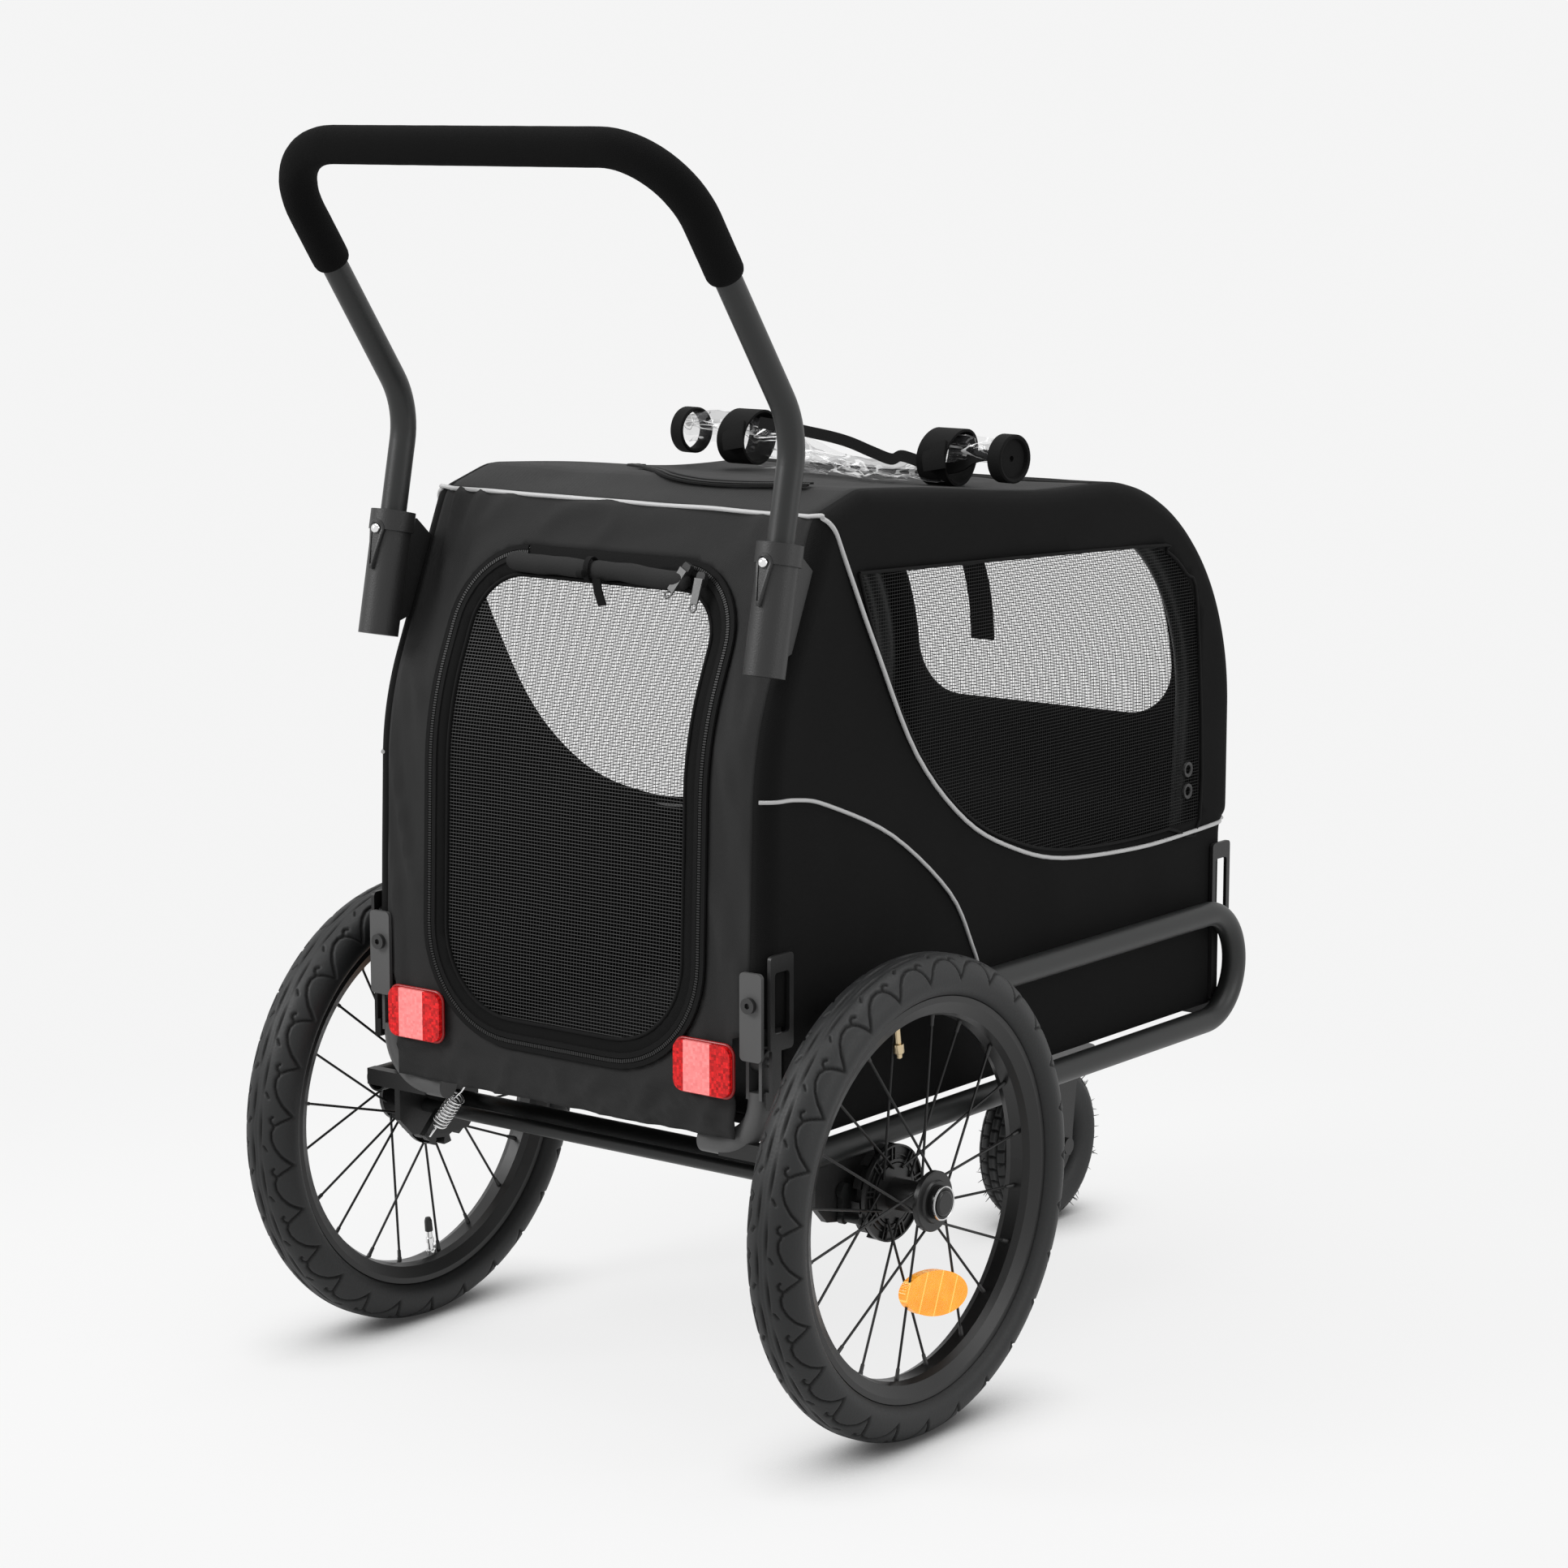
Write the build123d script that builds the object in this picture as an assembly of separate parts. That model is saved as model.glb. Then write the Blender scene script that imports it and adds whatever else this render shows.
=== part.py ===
"""Three-wheeled pet stroller: tubular chassis, folding fabric cabin, push handle, spoked wheels and foot brake.

Millimetres. X points to the right of the person pushing, Y forward, Z up from the ground.
Shapes are drawn with the rear axle at y = 0 and moved by ORIGIN_SHIFT when they are written.
"""
from build123d import *
from math import acos, atan2, cos, degrees, pi, radians, sin, sqrt
import os

# Rear wheels
AXLE_Z = 200.0
WHEEL_X = 273.0
TYRE_R = 200.0
TYRE_HALF_W = 25.0
RIM_TOP_R = 167.0
RIM_INNER_R = 150.0
RIM_HALF_W = 17.0
SPOKES = 20
SPOKE_R = 1.1
HUB_HOLE_R = 22.0
FLANGE_R = 25.0
FLANGE_OFFSET = 20.0
AXLE_R = 6.0
RUNNING_FIT = 0.06

# Foot brake
DISC_R = 40.0
DISC_NOTCHES = 12
NOTCH_W = 11.0
NOTCH_FLOOR_R = 33.0
DISC_X0 = 241.0
DISC_X1 = 249.0
ROD_Y = -40.0
ROD_Z = 207.0
ROD_R = 6.0
PAWL_ARM = 22.0
PAWL_PIN_R = 3.0
PAWL_FREE_R = 44.0
PAWL_LOCKED_R = 36.5

# Brake spring
SPRING_WIRE_R = 1.1
SPRING_MEAN_R = 6.5
SPRING_PITCH = 3.7
SPRING_TURNS = 9
SPRING_LOW = Vector(-200.4, -62, 187)
SPRING_TOP = Vector(-160, -57, 240)

# Front swivel wheel
FRONT_R = 78.0
FRONT_HALF_W = 22.0
FRONT_RIM_R = 44.0
FRONT_Y = 590.0
STEM_Y = 560.0
STEM_R = 8.0
FORK_HALF_W = 31.0
FORK_SHEET = 3.0
CROWN_TOP = 166.0

# Chassis tubes
TUBE_R = 11.0
TUBE_WALL = 1.6
RAIL_X = 227.0
RAIL_LOW_Z = 242.0
RAIL_TOP_Z = 342.0
RAIL_BEND_Y = 524.0
RAIL_TOP_REAR_Y = -60.0
RAIL_LOW_REAR_Y = -100.0
BEAM_R = 13.0
DROPOUT_X0 = 224.0
DROPOUT_X1 = 230.0

# Folding hoops and their hinges
HOOP_R = 10.0
REAR_HINGE_X = 198.0
REAR_HINGE_Y = -103.0
REAR_HINGE_Z = 322.0
FRONT_HINGE_X = 172.0
FRONT_HINGE_Y = 558.0
FRONT_HINGE_Z = 330.0
REAR_BOW_Z = 250.0
REAR_FOOT_END_X = 140.0
BOW_BEND = 40.0
FRONT_BOW_Z = 248.0
PIN_R = 4.0
LUG_HALF_W = 4.5
CHEEK = 3.0

# Tabs on the rear uprights and the bolt through each
TAB_X = 200.5
TAB_Z = 361.0
TAB_FACE_Y = -117.2
TAB_SHEET = 3.5
BOLT_X = 200.0
BOLT_Z = 371.0
BOLT_R = 3.4
BOLT_HEAD_R = 6.5
BOLT_HEAD_T = 3.8

# Cabin cover
CABIN_HALF_W = 212.0
SHEET = 3.0
GAP = 0.3
FLOOR_Z = 262.0
REAR_LOW_Y = -119.0
REAR_MID_Y = -110.0
LEAN_START_Z = 528.6
LEAN_R = 250.0
LEAN_DEG = 24.0
PIPING_Y = -32.0
PIPING_Z = 752.0
ROOF_REAR_Y = 25.0
ROOF_REAR_Z = 769.0
ROOF_FRONT_Z = 750.0
NOSE_R = 222.0
NOSE_Y = 590.0
NOSE_LOW_Z = 425.0
TUB_FRONT_Y = 578.0
FOLD_LINE_Z = 341.0

# Rear door
DOOR_HALF_W = 150.0
DOOR_LOW_Z = 300.0
DOOR_TOP_Z = 710.0
DOOR_TOP_CORNER = 65.0
DOOR_LOW_CORNER = 95.0
DOOR_BAND = 26.0

# Rolled rain cover
ROLL_Y = 285.0
ROLL_Z = 782.5
ROLL_R = 19.0
STRAP_R = 26.0
STRAP_SHEET = 2.4
STRAP_W = 32.0

# Push handle
HANDLE_X = 206.0
HANDLE_R = 11.0
GRIP_R = 15.5
SOCKET_R = 17.0
SOCKET_LEN = 105.0
SOCKET_LOW = Vector(0, -110, 633)
HANDLE_BEND = Vector(0, -70, 824)
GRIP_END = Vector(0, -154.6, 944.6)
HANDLE_TOP = Vector(0, -223.5, 1042.8)
BUTTON_R = 4.5
BUTTON_REACH = 15.5
GROOVE_R = 16.0

ORIGIN_SHIFT = -0.5 * ((FRONT_Y + FRONT_R) + (HANDLE_TOP.Y - GRIP_R))

NODES = {}


def block(x0, x1, y0, y1, z0, z1):
    """A box between two corners."""
    centre = ((x0 + x1) / 2, (y0 + y1) / 2, (z0 + z1) / 2)
    return Pos(*centre) * Box(x1 - x0, y1 - y0, z1 - z0)


def rod(start, end, radius):
    """A round bar from one point to another."""
    start = Vector(*start)
    along = Vector(*end) - start
    section = Plane(origin=start, z_dir=along) * Circle(radius)
    return extrude(section, amount=along.length)


def bent_bar(points, bends, radius):
    """A solid round bar along straight runs with the given bend radii."""
    path = FilletPolyline(*points, radius=bends)
    return sweep(Plane(origin=path @ 0, z_dir=path % 0) * Circle(radius), path=path)


def tube(points, bends, outer_r, wall=TUBE_WALL):
    """A bent tube along straight runs with the given bend radii."""
    path = FilletPolyline(*points, radius=bends)
    section = Circle(outer_r) - Circle(outer_r - wall)
    return sweep(Plane(origin=path @ 0, z_dir=path % 0) * section, path=path)


def plate(outline, x0, x1):
    """A flat plate of the side-view outline (y, z) between two x planes."""
    face = make_face(Polyline(*outline, close=True))
    return Pos(x0, 0, 0) * extrude(Plane.YZ * face, amount=x1 - x0, dir=(1, 0, 0))


def turned(profile, x):
    """A ring turned about the X axis at the wheel axle, from (x, radius) points."""
    face = make_face(Polyline(*profile, close=True))
    ring = revolve(face, axis=Axis.X)
    return Pos(x, 0, AXLE_Z) * ring


def mirrored(shape, side):
    """The shape itself on the right, its mirror image on the left."""
    return shape if side > 0 else mirror(shape, about=Plane.YZ)


def on_both_sides(shape):
    """The shape and its mirror image, as separate solids."""
    return [shape, mirror(shape, about=Plane.YZ)]


def add(name, *shapes):
    """Keep a node: one solid, or a group of separate like solids."""
    solids = [s for shape in shapes for s in shape.solids()]
    NODES[name] = solids[0] if len(solids) == 1 else Compound(children=solids)


def wheel_side(name):
    return 1 if name == "right" else -1


# Rear wheels: solid-section tyre, channel rim, laced spokes, hub, brake disc and clipped reflector
def tyre_section():
    bead = RIM_TOP_R + 0.5
    crown = ThreePointArc((TYRE_HALF_W, 181), (17.5, 195.2), (0, TYRE_R))
    wall = ThreePointArc((16.5, bead), (22.8, 172.5), (TYRE_HALF_W, 181))
    seat = Polyline((0, 160.6), (11.5, 160.6), (13.2, bead), (16.5, bead))
    half = make_face([seat, wall, crown, Line((0, TYRE_R), (0, 160.6))])
    return half + mirror(half, about=Plane.YZ)


def spoke_ends(n):
    """Hub hole and rim hole of spoke n: flanges alternate and so does the lean of each flange's spokes."""
    flange = 1 if n % 2 == 0 else -1
    lean = 38 if (n // 2) % 2 == 0 else -38
    rim_angle = radians(360 / SPOKES * n + 9)
    hub_angle = rim_angle + radians(lean)
    hub = (flange * (FLANGE_OFFSET - 3), HUB_HOLE_R * cos(hub_angle), HUB_HOLE_R * sin(hub_angle))
    rim = (flange * 2, (RIM_INNER_R - 0.2) * cos(rim_angle), (RIM_INNER_R - 0.2) * sin(rim_angle))
    return hub, rim


RIM_PROFILE = [
    (-RIM_HALF_W, RIM_TOP_R), (-RIM_HALF_W, 162), (-12, 152.5), (-6, RIM_INNER_R), (6, RIM_INNER_R),
    (12, 152.5), (RIM_HALF_W, 162), (RIM_HALF_W, RIM_TOP_R), (RIM_HALF_W - 3, RIM_TOP_R), (12, 160),
    (-12, 160), (-RIM_HALF_W + 3, RIM_TOP_R),
]
BORE_R = AXLE_R + RUNNING_FIT
SPIGOT_R = 15.0
HUB_PROFILE = [
    (-34, BORE_R), (-34, SPIGOT_R), (-23, SPIGOT_R), (-23, FLANGE_R), (-18, FLANGE_R), (-18, 13),
    (18, 13), (18, FLANGE_R), (22, FLANGE_R), (23, 24), (23, 18), (25, 17), (25, BORE_R),
]


def brake_disc():
    """Notched disc with a raised rim; one notch faces the locked pawl."""
    disc = Circle(DISC_R) - Circle(SPIGOT_R)
    notch = Pos(NOTCH_FLOOR_R + 10, 0) * Rectangle(20, NOTCH_W)
    for n in range(DISC_NOTCHES):
        disc -= Rot(0, 0, LOCKED_ANGLE + 360 / DISC_NOTCHES * n) * notch
    body = extrude(Plane.YZ * disc, amount=DISC_X1 - DISC_X0)
    slot = Pos(25, 0) * SlotOverall(10, 3.4)
    cuts = Sketch() + [Rot(0, 0, LOCKED_ANGLE + 15 + 30 * n) * slot for n in range(DISC_NOTCHES)]
    body -= extrude(Plane.YZ * cuts, amount=3)
    return Pos(DISC_X0, 0, AXLE_Z) * body


def pawl_angle(reach):
    """Angle at the rod, between the axle and the pawl pin, that puts the pin at this radius from the axle."""
    apart = sqrt(ROD_Y**2 + (AXLE_Z - ROD_Z) ** 2)
    return acos((apart**2 + PAWL_ARM**2 - reach**2) / (2 * apart * PAWL_ARM))


def pawl_pin(reach):
    """Where the pawl pin is, in side view, when it stands at this radius from the axle."""
    to_axle = atan2(AXLE_Z - ROD_Z, -ROD_Y)
    angle = to_axle - pawl_angle(reach)
    return ROD_Y + PAWL_ARM * cos(angle), ROD_Z + PAWL_ARM * sin(angle)


LOCKED_Y, LOCKED_Z = pawl_pin(PAWL_LOCKED_R)
LOCKED_ANGLE = degrees(atan2(LOCKED_Z - AXLE_Z, LOCKED_Y))
REFLECTOR_Y = 17.0
REFLECTOR_Z = 117.0
REFLECTOR_TILT = -13.0
LENS_TURN = {"right": 0.0, "left": 144.0}

for side_name in ("right", "left"):
    side = wheel_side(side_name)
    add(f"tyre_{side_name}", Pos(side * WHEEL_X, 0, AXLE_Z) * revolve(tyre_section(), axis=Axis.X))
    add(f"rim_{side_name}", turned(RIM_PROFILE, side * WHEEL_X))
    hub = turned(HUB_PROFILE, WHEEL_X)
    add(f"hub_{side_name}", mirrored(hub, side))
    spokes = []
    for n in range(SPOKES):
        hub_end, rim_end = spoke_ends(n)
        spokes.append(Pos(WHEEL_X, 0, AXLE_Z) * rod(hub_end, rim_end, SPOKE_R))
    add(f"spokes_{side_name}", *[mirrored(s, side) for s in spokes])
    add(f"brake_disc_{side_name}", mirrored(brake_disc(), side))
    oval = Pos(REFLECTOR_Y, REFLECTOR_Z) * Rot(0, 0, REFLECTOR_TILT) * Ellipse(45, 19)
    lens = Pos(WHEEL_X + 6, 0, 0) * extrude(Plane.YZ * oval, amount=7)
    for s in spokes:
        lens -= s
    turned_lens = Pos(0, 0, AXLE_Z) * Rot(LENS_TURN[side_name], 0, 0) * Pos(0, 0, -AXLE_Z) * lens
    add(f"spoke_reflector_{side_name}", mirrored(turned_lens, side))

# Stub axles with a cupped head, and the release button in each head
HEAD_X = WHEEL_X + 25.3
HEAD_R = 14.0
CUP_R = 11.3
for side_name in ("right", "left"):
    side = wheel_side(side_name)
    stub = rod((DROPOUT_X0, 0, AXLE_Z), (HEAD_X, 0, AXLE_Z), AXLE_R)
    head = rod((HEAD_X, 0, AXLE_Z), (HEAD_X + 6, 0, AXLE_Z), HEAD_R)
    head -= rod((HEAD_X + 1.2, 0, AXLE_Z), (HEAD_X + 6, 0, AXLE_Z), CUP_R)
    add(f"wheel_axle_{side_name}", mirrored(stub + head, side))
    button = rod((HEAD_X + 4.2, 0, AXLE_Z), (HEAD_X + 8, 0, AXLE_Z), CUP_R - 0.3)
    button = fillet(button.edges().sort_by(Axis.X)[-1], 2.5)
    add(f"axle_button_{side_name}", mirrored(button, side))

# Axle beam and the drop-out plates that hang from the lower rails
RAIL_POINTS = [
    (RAIL_X, RAIL_TOP_REAR_Y, RAIL_TOP_Z), (RAIL_X, RAIL_BEND_Y + 50, RAIL_TOP_Z),
    (RAIL_X, RAIL_BEND_Y + 50, RAIL_LOW_Z), (RAIL_X, RAIL_LOW_REAR_Y, RAIL_LOW_Z),
]
rail = tube(RAIL_POINTS, [49.9, 49.9], TUBE_R)
rail_solid = bent_bar(RAIL_POINTS, [49.9, 49.9], TUBE_R)
for side_name in ("right", "left"):
    side = wheel_side(side_name)
    add(f"side_rail_{side_name}", mirrored(rail, side))
    outline = [(-74, 238), (28, 238), (28, 190), (14, 176), (-14, 176), (-58, 184), (-74, 200)]
    hanger = plate(outline, DROPOUT_X0, DROPOUT_X1) - rail_solid - block(220, 234, -90, 40, RAIL_LOW_Z, 250)
    hanger -= rod((220, 0, AXLE_Z), (234, 0, AXLE_Z), AXLE_R + 0.01)
    hanger -= rod((220, ROD_Y, ROD_Z), (234, ROD_Y, ROD_Z), ROD_R + RUNNING_FIT)
    add(f"dropout_{side_name}", mirrored(hanger, side))
beam = rod((-DROPOUT_X0, 0, AXLE_Z), (DROPOUT_X0, 0, AXLE_Z), BEAM_R)
beam -= rod((-DROPOUT_X0 + 8, 0, AXLE_Z), (DROPOUT_X0 - 8, 0, AXLE_Z), BEAM_R - 2)
add("axle_beam", beam)

# Foot brake: cross rod, crank and pin at each end, and a lever for the return spring
free_y, free_z = pawl_pin(PAWL_FREE_R)
brake = rod((-231, ROD_Y, ROD_Z), (231, ROD_Y, ROD_Z), ROD_R)
for side in (1, -1):
    crank = Plane.YZ * (Pos(ROD_Y, ROD_Z) * Circle(7) + Pos(free_y, free_z) * Circle(5))
    web = plate([(ROD_Y - 5, ROD_Z), (ROD_Y + 5, ROD_Z), (free_y + 4, free_z), (free_y - 4, free_z)], 231, 236)
    arm = Pos(231, 0, 0) * extrude(crank, amount=5) + web
    arm += rod((236, free_y, free_z), (250.5, free_y, free_z), PAWL_PIN_R)
    brake += arm if side > 0 else mirror(arm, about=Plane.YZ)
lever = plate([(ROD_Y + 1, ROD_Z), (ROD_Y - 5, ROD_Z + 2), (-67, 188), (-60, 182)], -208, -202)
add("brake_bar", brake + lever)


# Brake return spring: one wire, straight hooks at both ends and the coil between
def biarc(start, start_dir, end, end_dir):
    """Two tangent arcs from one point and direction to another."""
    span = end - start
    both = start_dir + end_dir
    turn = 2 * (1 - start_dir.dot(end_dir))
    along = span.dot(both)
    reach = (-along + sqrt(along**2 + turn * span.dot(span))) / turn
    first = start + start_dir * reach
    second = end - end_dir * reach
    middle = (first + second) * 0.5
    return [TangentArc(start, middle, tangent=start_dir), TangentArc(middle, end, tangent=(second - first))]


axis_dir = (SPRING_TOP - SPRING_LOW).normalized()
coil_length = SPRING_PITCH * SPRING_TURNS
coil_start = (SPRING_LOW + SPRING_TOP) * 0.5 - axis_dir * (coil_length / 2)
across = axis_dir.cross(Vector(0, 0, 1)).normalized()
upright = axis_dir.cross(across)


def coil_point(turn):
    angle = 2 * pi * turn
    out = across * cos(angle) + upright * sin(angle)
    return coil_start + axis_dir * (SPRING_PITCH * turn) + out * SPRING_MEAN_R


def coil_dir(turn):
    angle = 2 * pi * turn
    round_dir = upright * cos(angle) - across * sin(angle)
    return (round_dir * (2 * pi * SPRING_MEAN_R) + axis_dir * SPRING_PITCH).normalized()


HOOK_RUN = 9.0
low_neck = coil_start - axis_dir * HOOK_RUN
top_neck = coil_start + axis_dir * (coil_length + HOOK_RUN)
wire = [Line(SPRING_LOW, low_neck)] + biarc(low_neck, axis_dir, coil_point(0), coil_dir(0))
for quarter in range(SPRING_TURNS * 4):
    a, b = quarter / 4, (quarter + 1) / 4
    wire += biarc(coil_point(a), coil_dir(a), coil_point(b), coil_dir(b))
wire += biarc(coil_point(SPRING_TURNS), coil_dir(SPRING_TURNS), top_neck, axis_dir)
wire += [Line(top_neck, SPRING_TOP)]
spring_path = Wire(wire)
spring_start = Plane(origin=SPRING_LOW, z_dir=axis_dir)
add("brake_spring", sweep(spring_start * Circle(SPRING_WIRE_R), path=spring_path))
turn_points = [coil_point(n / 24) for n in range(SPRING_TURNS * 24 + 1)]
least = min((p - q).length for i, p in enumerate(turn_points) for q in turn_points[i + 13:])
print("brake spring least gap to itself", round(least - 2 * SPRING_WIRE_R, 2))


# Front bow and rear feet under the cabin, hinge clevises on their upper ends, hinge pins
def clevis(hinge_x, hinge_y, hinge_z):
    """The slotted cheek pair and the plug on the upper end of a right-hand leg."""
    top_z = hinge_z - 24
    shape = rod((hinge_x, hinge_y, top_z - 4), (hinge_x, hinge_y, top_z), TUBE_R)
    for inner in (hinge_x - LUG_HALF_W - 0.5 - CHEEK, hinge_x + LUG_HALF_W + 0.5):
        face = Pos(hinge_y, hinge_z) * Circle(10) + Pos(hinge_y, hinge_z - 15) * Rectangle(20, 30)
        cheek = Pos(inner, 0, 0) * extrude(Plane.YZ * face, amount=CHEEK)
        cheek -= rod((inner - 1, hinge_y, hinge_z), (inner + CHEEK + 1, hinge_y, hinge_z), PIN_R)
        shape += cheek
    return shape


def leg_points(hinge_x, hinge_y, hinge_z, low_z, end_x):
    """A right-hand leg from its clevis down and inward."""
    return [(hinge_x, hinge_y, hinge_z - 24), (hinge_x, hinge_y, low_z), (end_x, hinge_y, low_z)]


front_leg = leg_points(FRONT_HINGE_X, FRONT_HINGE_Y, FRONT_HINGE_Z, FRONT_BOW_Z, -FRONT_HINGE_X)
front_leg += [(-FRONT_HINGE_X, FRONT_HINGE_Y, FRONT_HINGE_Z - 24)]
front_bow = tube(front_leg, [BOW_BEND, BOW_BEND], TUBE_R)
add("front_bow", front_bow + on_both_sides(clevis(FRONT_HINGE_X, FRONT_HINGE_Y, FRONT_HINGE_Z)))
rear_leg = leg_points(REAR_HINGE_X, REAR_HINGE_Y, REAR_HINGE_Z, REAR_BOW_Z, REAR_FOOT_END_X)
rear_foot = tube(rear_leg, [BOW_BEND], TUBE_R) + clevis(REAR_HINGE_X, REAR_HINGE_Y, REAR_HINGE_Z)
plug_end = (REAR_FOOT_END_X + 4, REAR_HINGE_Y, REAR_BOW_Z)
rear_foot += rod((REAR_FOOT_END_X, REAR_HINGE_Y, REAR_BOW_Z), plug_end, TUBE_R)
add("rear_bow", *on_both_sides(rear_foot))
pin_half = LUG_HALF_W + CHEEK + 3
pins = []
for x, y, z in ((REAR_HINGE_X, REAR_HINGE_Y, REAR_HINGE_Z), (FRONT_HINGE_X, FRONT_HINGE_Y, FRONT_HINGE_Z)):
    pins += on_both_sides(rod((x - pin_half, y, z), (x + pin_half, y, z), PIN_R))
add("hinge_pins", *pins)

# Welded lugs from the bows to the rails, and the spring's anchor tab under the floor
lugs = []
for side in (1, -1):
    rear_lug = block(160, RAIL_X, -111, -101, 240, 254) - rail_solid
    front_lug = block(150, RAIL_X, 553, 563, 240, 254) - rail_solid
    for lug, hinge_x, hinge_y, low in (
        (rear_lug, REAR_HINGE_X, REAR_HINGE_Y, REAR_BOW_Z),
        (front_lug, FRONT_HINGE_X, FRONT_HINGE_Y, FRONT_BOW_Z),
    ):
        filled = bent_bar([(hinge_x, hinge_y, 310), (hinge_x, hinge_y, low), (0, hinge_y, low)], [BOW_BEND], TUBE_R)
        piece = (lug - filled).solids().sort_by(Axis.X)[-1]
        lugs.append(piece if side > 0 else mirror(piece, about=Plane.YZ))
lugs.append(block(-165, -155, -63, -51, SPRING_TOP.Z, 261))
add("frame_lugs", *lugs)

# Ring-shaped corner brackets outside the four hinges
brackets = []
ring = Pos(-99, 372) * (RectangleRounded(30, 78, 4) - RectangleRounded(19, 50, 3))
rear_bracket = Pos(212.5, 0, 0) * extrude(Plane.YZ * ring, amount=3.3)
rear_bracket += block(212.5, 215.8, -112, -100, 285, 334)
rear_bracket += block(209.2, 212.5, -112, -100, 285, 300)
ring = Pos(567, 362) * (RectangleRounded(30, 80, 4) - RectangleRounded(19, 50, 3))
front_bracket = Pos(212.5, 0, 0) * extrude(Plane.YZ * ring, amount=3.3)
front_bracket += block(212.5, 215.8, 553, 563, 256, 323)
front_bracket += block(183.5, 212.5, 553, 563, 256, 266)
for bracket in (rear_bracket, front_bracket):
    brackets += on_both_sides(bracket - rail_solid)
add("corner_brackets", *brackets)

# Floor board and pad
board = block(-185, 185, -104, 566, 261.2, 269)
for notch in (block(130, 190, 540, 575, 255, 275), block(150, 190, -110, -84, 255, 275)):
    for room in on_both_sides(notch):
        board -= room
add("floor_board", board)
pad = block(-184, 184, -92, 538, 269.2, 284)
pad = fillet(pad.edges().filter_by(Axis.Z), 30)
pad = fillet(pad.edges().group_by(Axis.Z)[-1], 6)
add("floor_pad", pad)


# Cabin cover
def cover_face():
    """Side view of the whole cover, with straight and round stretches."""
    tilt = atan2(REAR_MID_Y - REAR_LOW_Y, LEAN_START_Z - FLOOR_Z)
    bend_y = REAR_MID_Y + LEAN_R * cos(tilt)
    bend_z = LEAN_START_Z - LEAN_R * sin(tilt)
    lean_end_y = bend_y - LEAN_R * cos(radians(LEAN_DEG))
    lean_end_z = bend_z + LEAN_R * sin(radians(LEAN_DEG))
    nose_y = NOSE_Y - NOSE_R
    nose_z = ROOF_FRONT_Z - NOSE_R
    edges = [
        Line((REAR_LOW_Y, FLOOR_Z), (REAR_MID_Y, LEAN_START_Z)),
        CenterArc((bend_y, bend_z), LEAN_R, 180 - degrees(tilt), degrees(tilt) - LEAN_DEG),
        Polyline((lean_end_y, lean_end_z), (PIPING_Y, PIPING_Z), (ROOF_REAR_Y, ROOF_REAR_Z),
                 (nose_y, ROOF_FRONT_Z)),
        CenterArc((nose_y, nose_z), NOSE_R, 90, -90),
        Polyline((NOSE_Y, nose_z), (NOSE_Y, NOSE_LOW_Z), (TUB_FRONT_Y, NOSE_LOW_Z - 6), (TUB_FRONT_Y, FLOOR_Z),
                 (REAR_LOW_Y, FLOOR_Z)),
    ]
    return make_face(edges)


def window_face():
    """Side window: swept lower edge, square front, rounded upper front corner."""
    lower = Spline((8, 704), (36, 636), (93, 546), (163, 484), (235, 451), (310, 433), (426, 426), (534, 428))
    rest = Polyline((534, 428), (530, 600))
    corner = ThreePointArc((530, 600), (498, 662), (432, 688))
    return make_face([lower, rest, corner, Line((432, 688), (8, 704))])


def door_prism(margin):
    """The rear door's outline, as a prism along Y through the rear panel."""
    height = DOOR_TOP_Z - DOOR_LOW_Z
    face = Rectangle(2 * (DOOR_HALF_W - margin), height - 2 * margin)
    face = fillet(face.vertices().group_by(Axis.Y)[-1], DOOR_TOP_CORNER - margin)
    face = fillet(face.vertices().group_by(Axis.Y)[0], DOOR_LOW_CORNER - margin)
    centre_z = (DOOR_TOP_Z + DOOR_LOW_Z) / 2
    return extrude(Plane((0, -30, centre_z), x_dir=(1, 0, 0), z_dir=(0, -1, 0)) * face, amount=120)


def nose_prism(margin):
    """The front window's outline, as a prism along Y through the nose."""
    face = RectangleRounded(2 * (147 - margin), 190 - 2 * margin, 50 - margin)
    return extrude(Plane((0, 420, 602), x_dir=(1, 0, 0), z_dir=(0, 1, 0)) * face, amount=200)


cover = cover_face()
INNER_HALF_W = CABIN_HALF_W - SHEET - GAP
shell = extrude(Plane.YZ * (cover - offset(cover, amount=-SHEET)), amount=2 * INNER_HALF_W)
shell = Pos(-INNER_HALF_W, 0, 0) * shell
hinge_room = block(182, 230, -130, -90, 240, 352)
hinge_room_pair = on_both_sides(hinge_room)

for side_name in ("right", "left"):
    side = wheel_side(side_name)
    panel = Pos(CABIN_HALF_W - SHEET, 0, 0) * extrude(Plane.YZ * (cover - window_face()), amount=SHEET)
    panel -= hinge_room
    panel -= block(200, 220, 540, 600, 240, 280)
    mesh = Pos(CABIN_HALF_W - 2.2, 0, 0) * extrude(Plane.YZ * window_face(), amount=1.4, dir=(1, 0, 0))
    add(f"side_panel_{side_name}", mirrored(panel, side))
    add(f"side_mesh_{side_name}", mirrored(mesh, side))

roof = shell & block(-220, 220, PIPING_Y + 0.3, NOSE_Y - NOSE_R, 700, 800)
add("roof_panel", roof)
nose = shell & block(-220, 220, NOSE_Y - NOSE_R + GAP, 620, 275, 800)
add("front_panel", nose - nose_prism(0))
add("front_mesh", nose & nose_prism(0.3))

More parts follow.
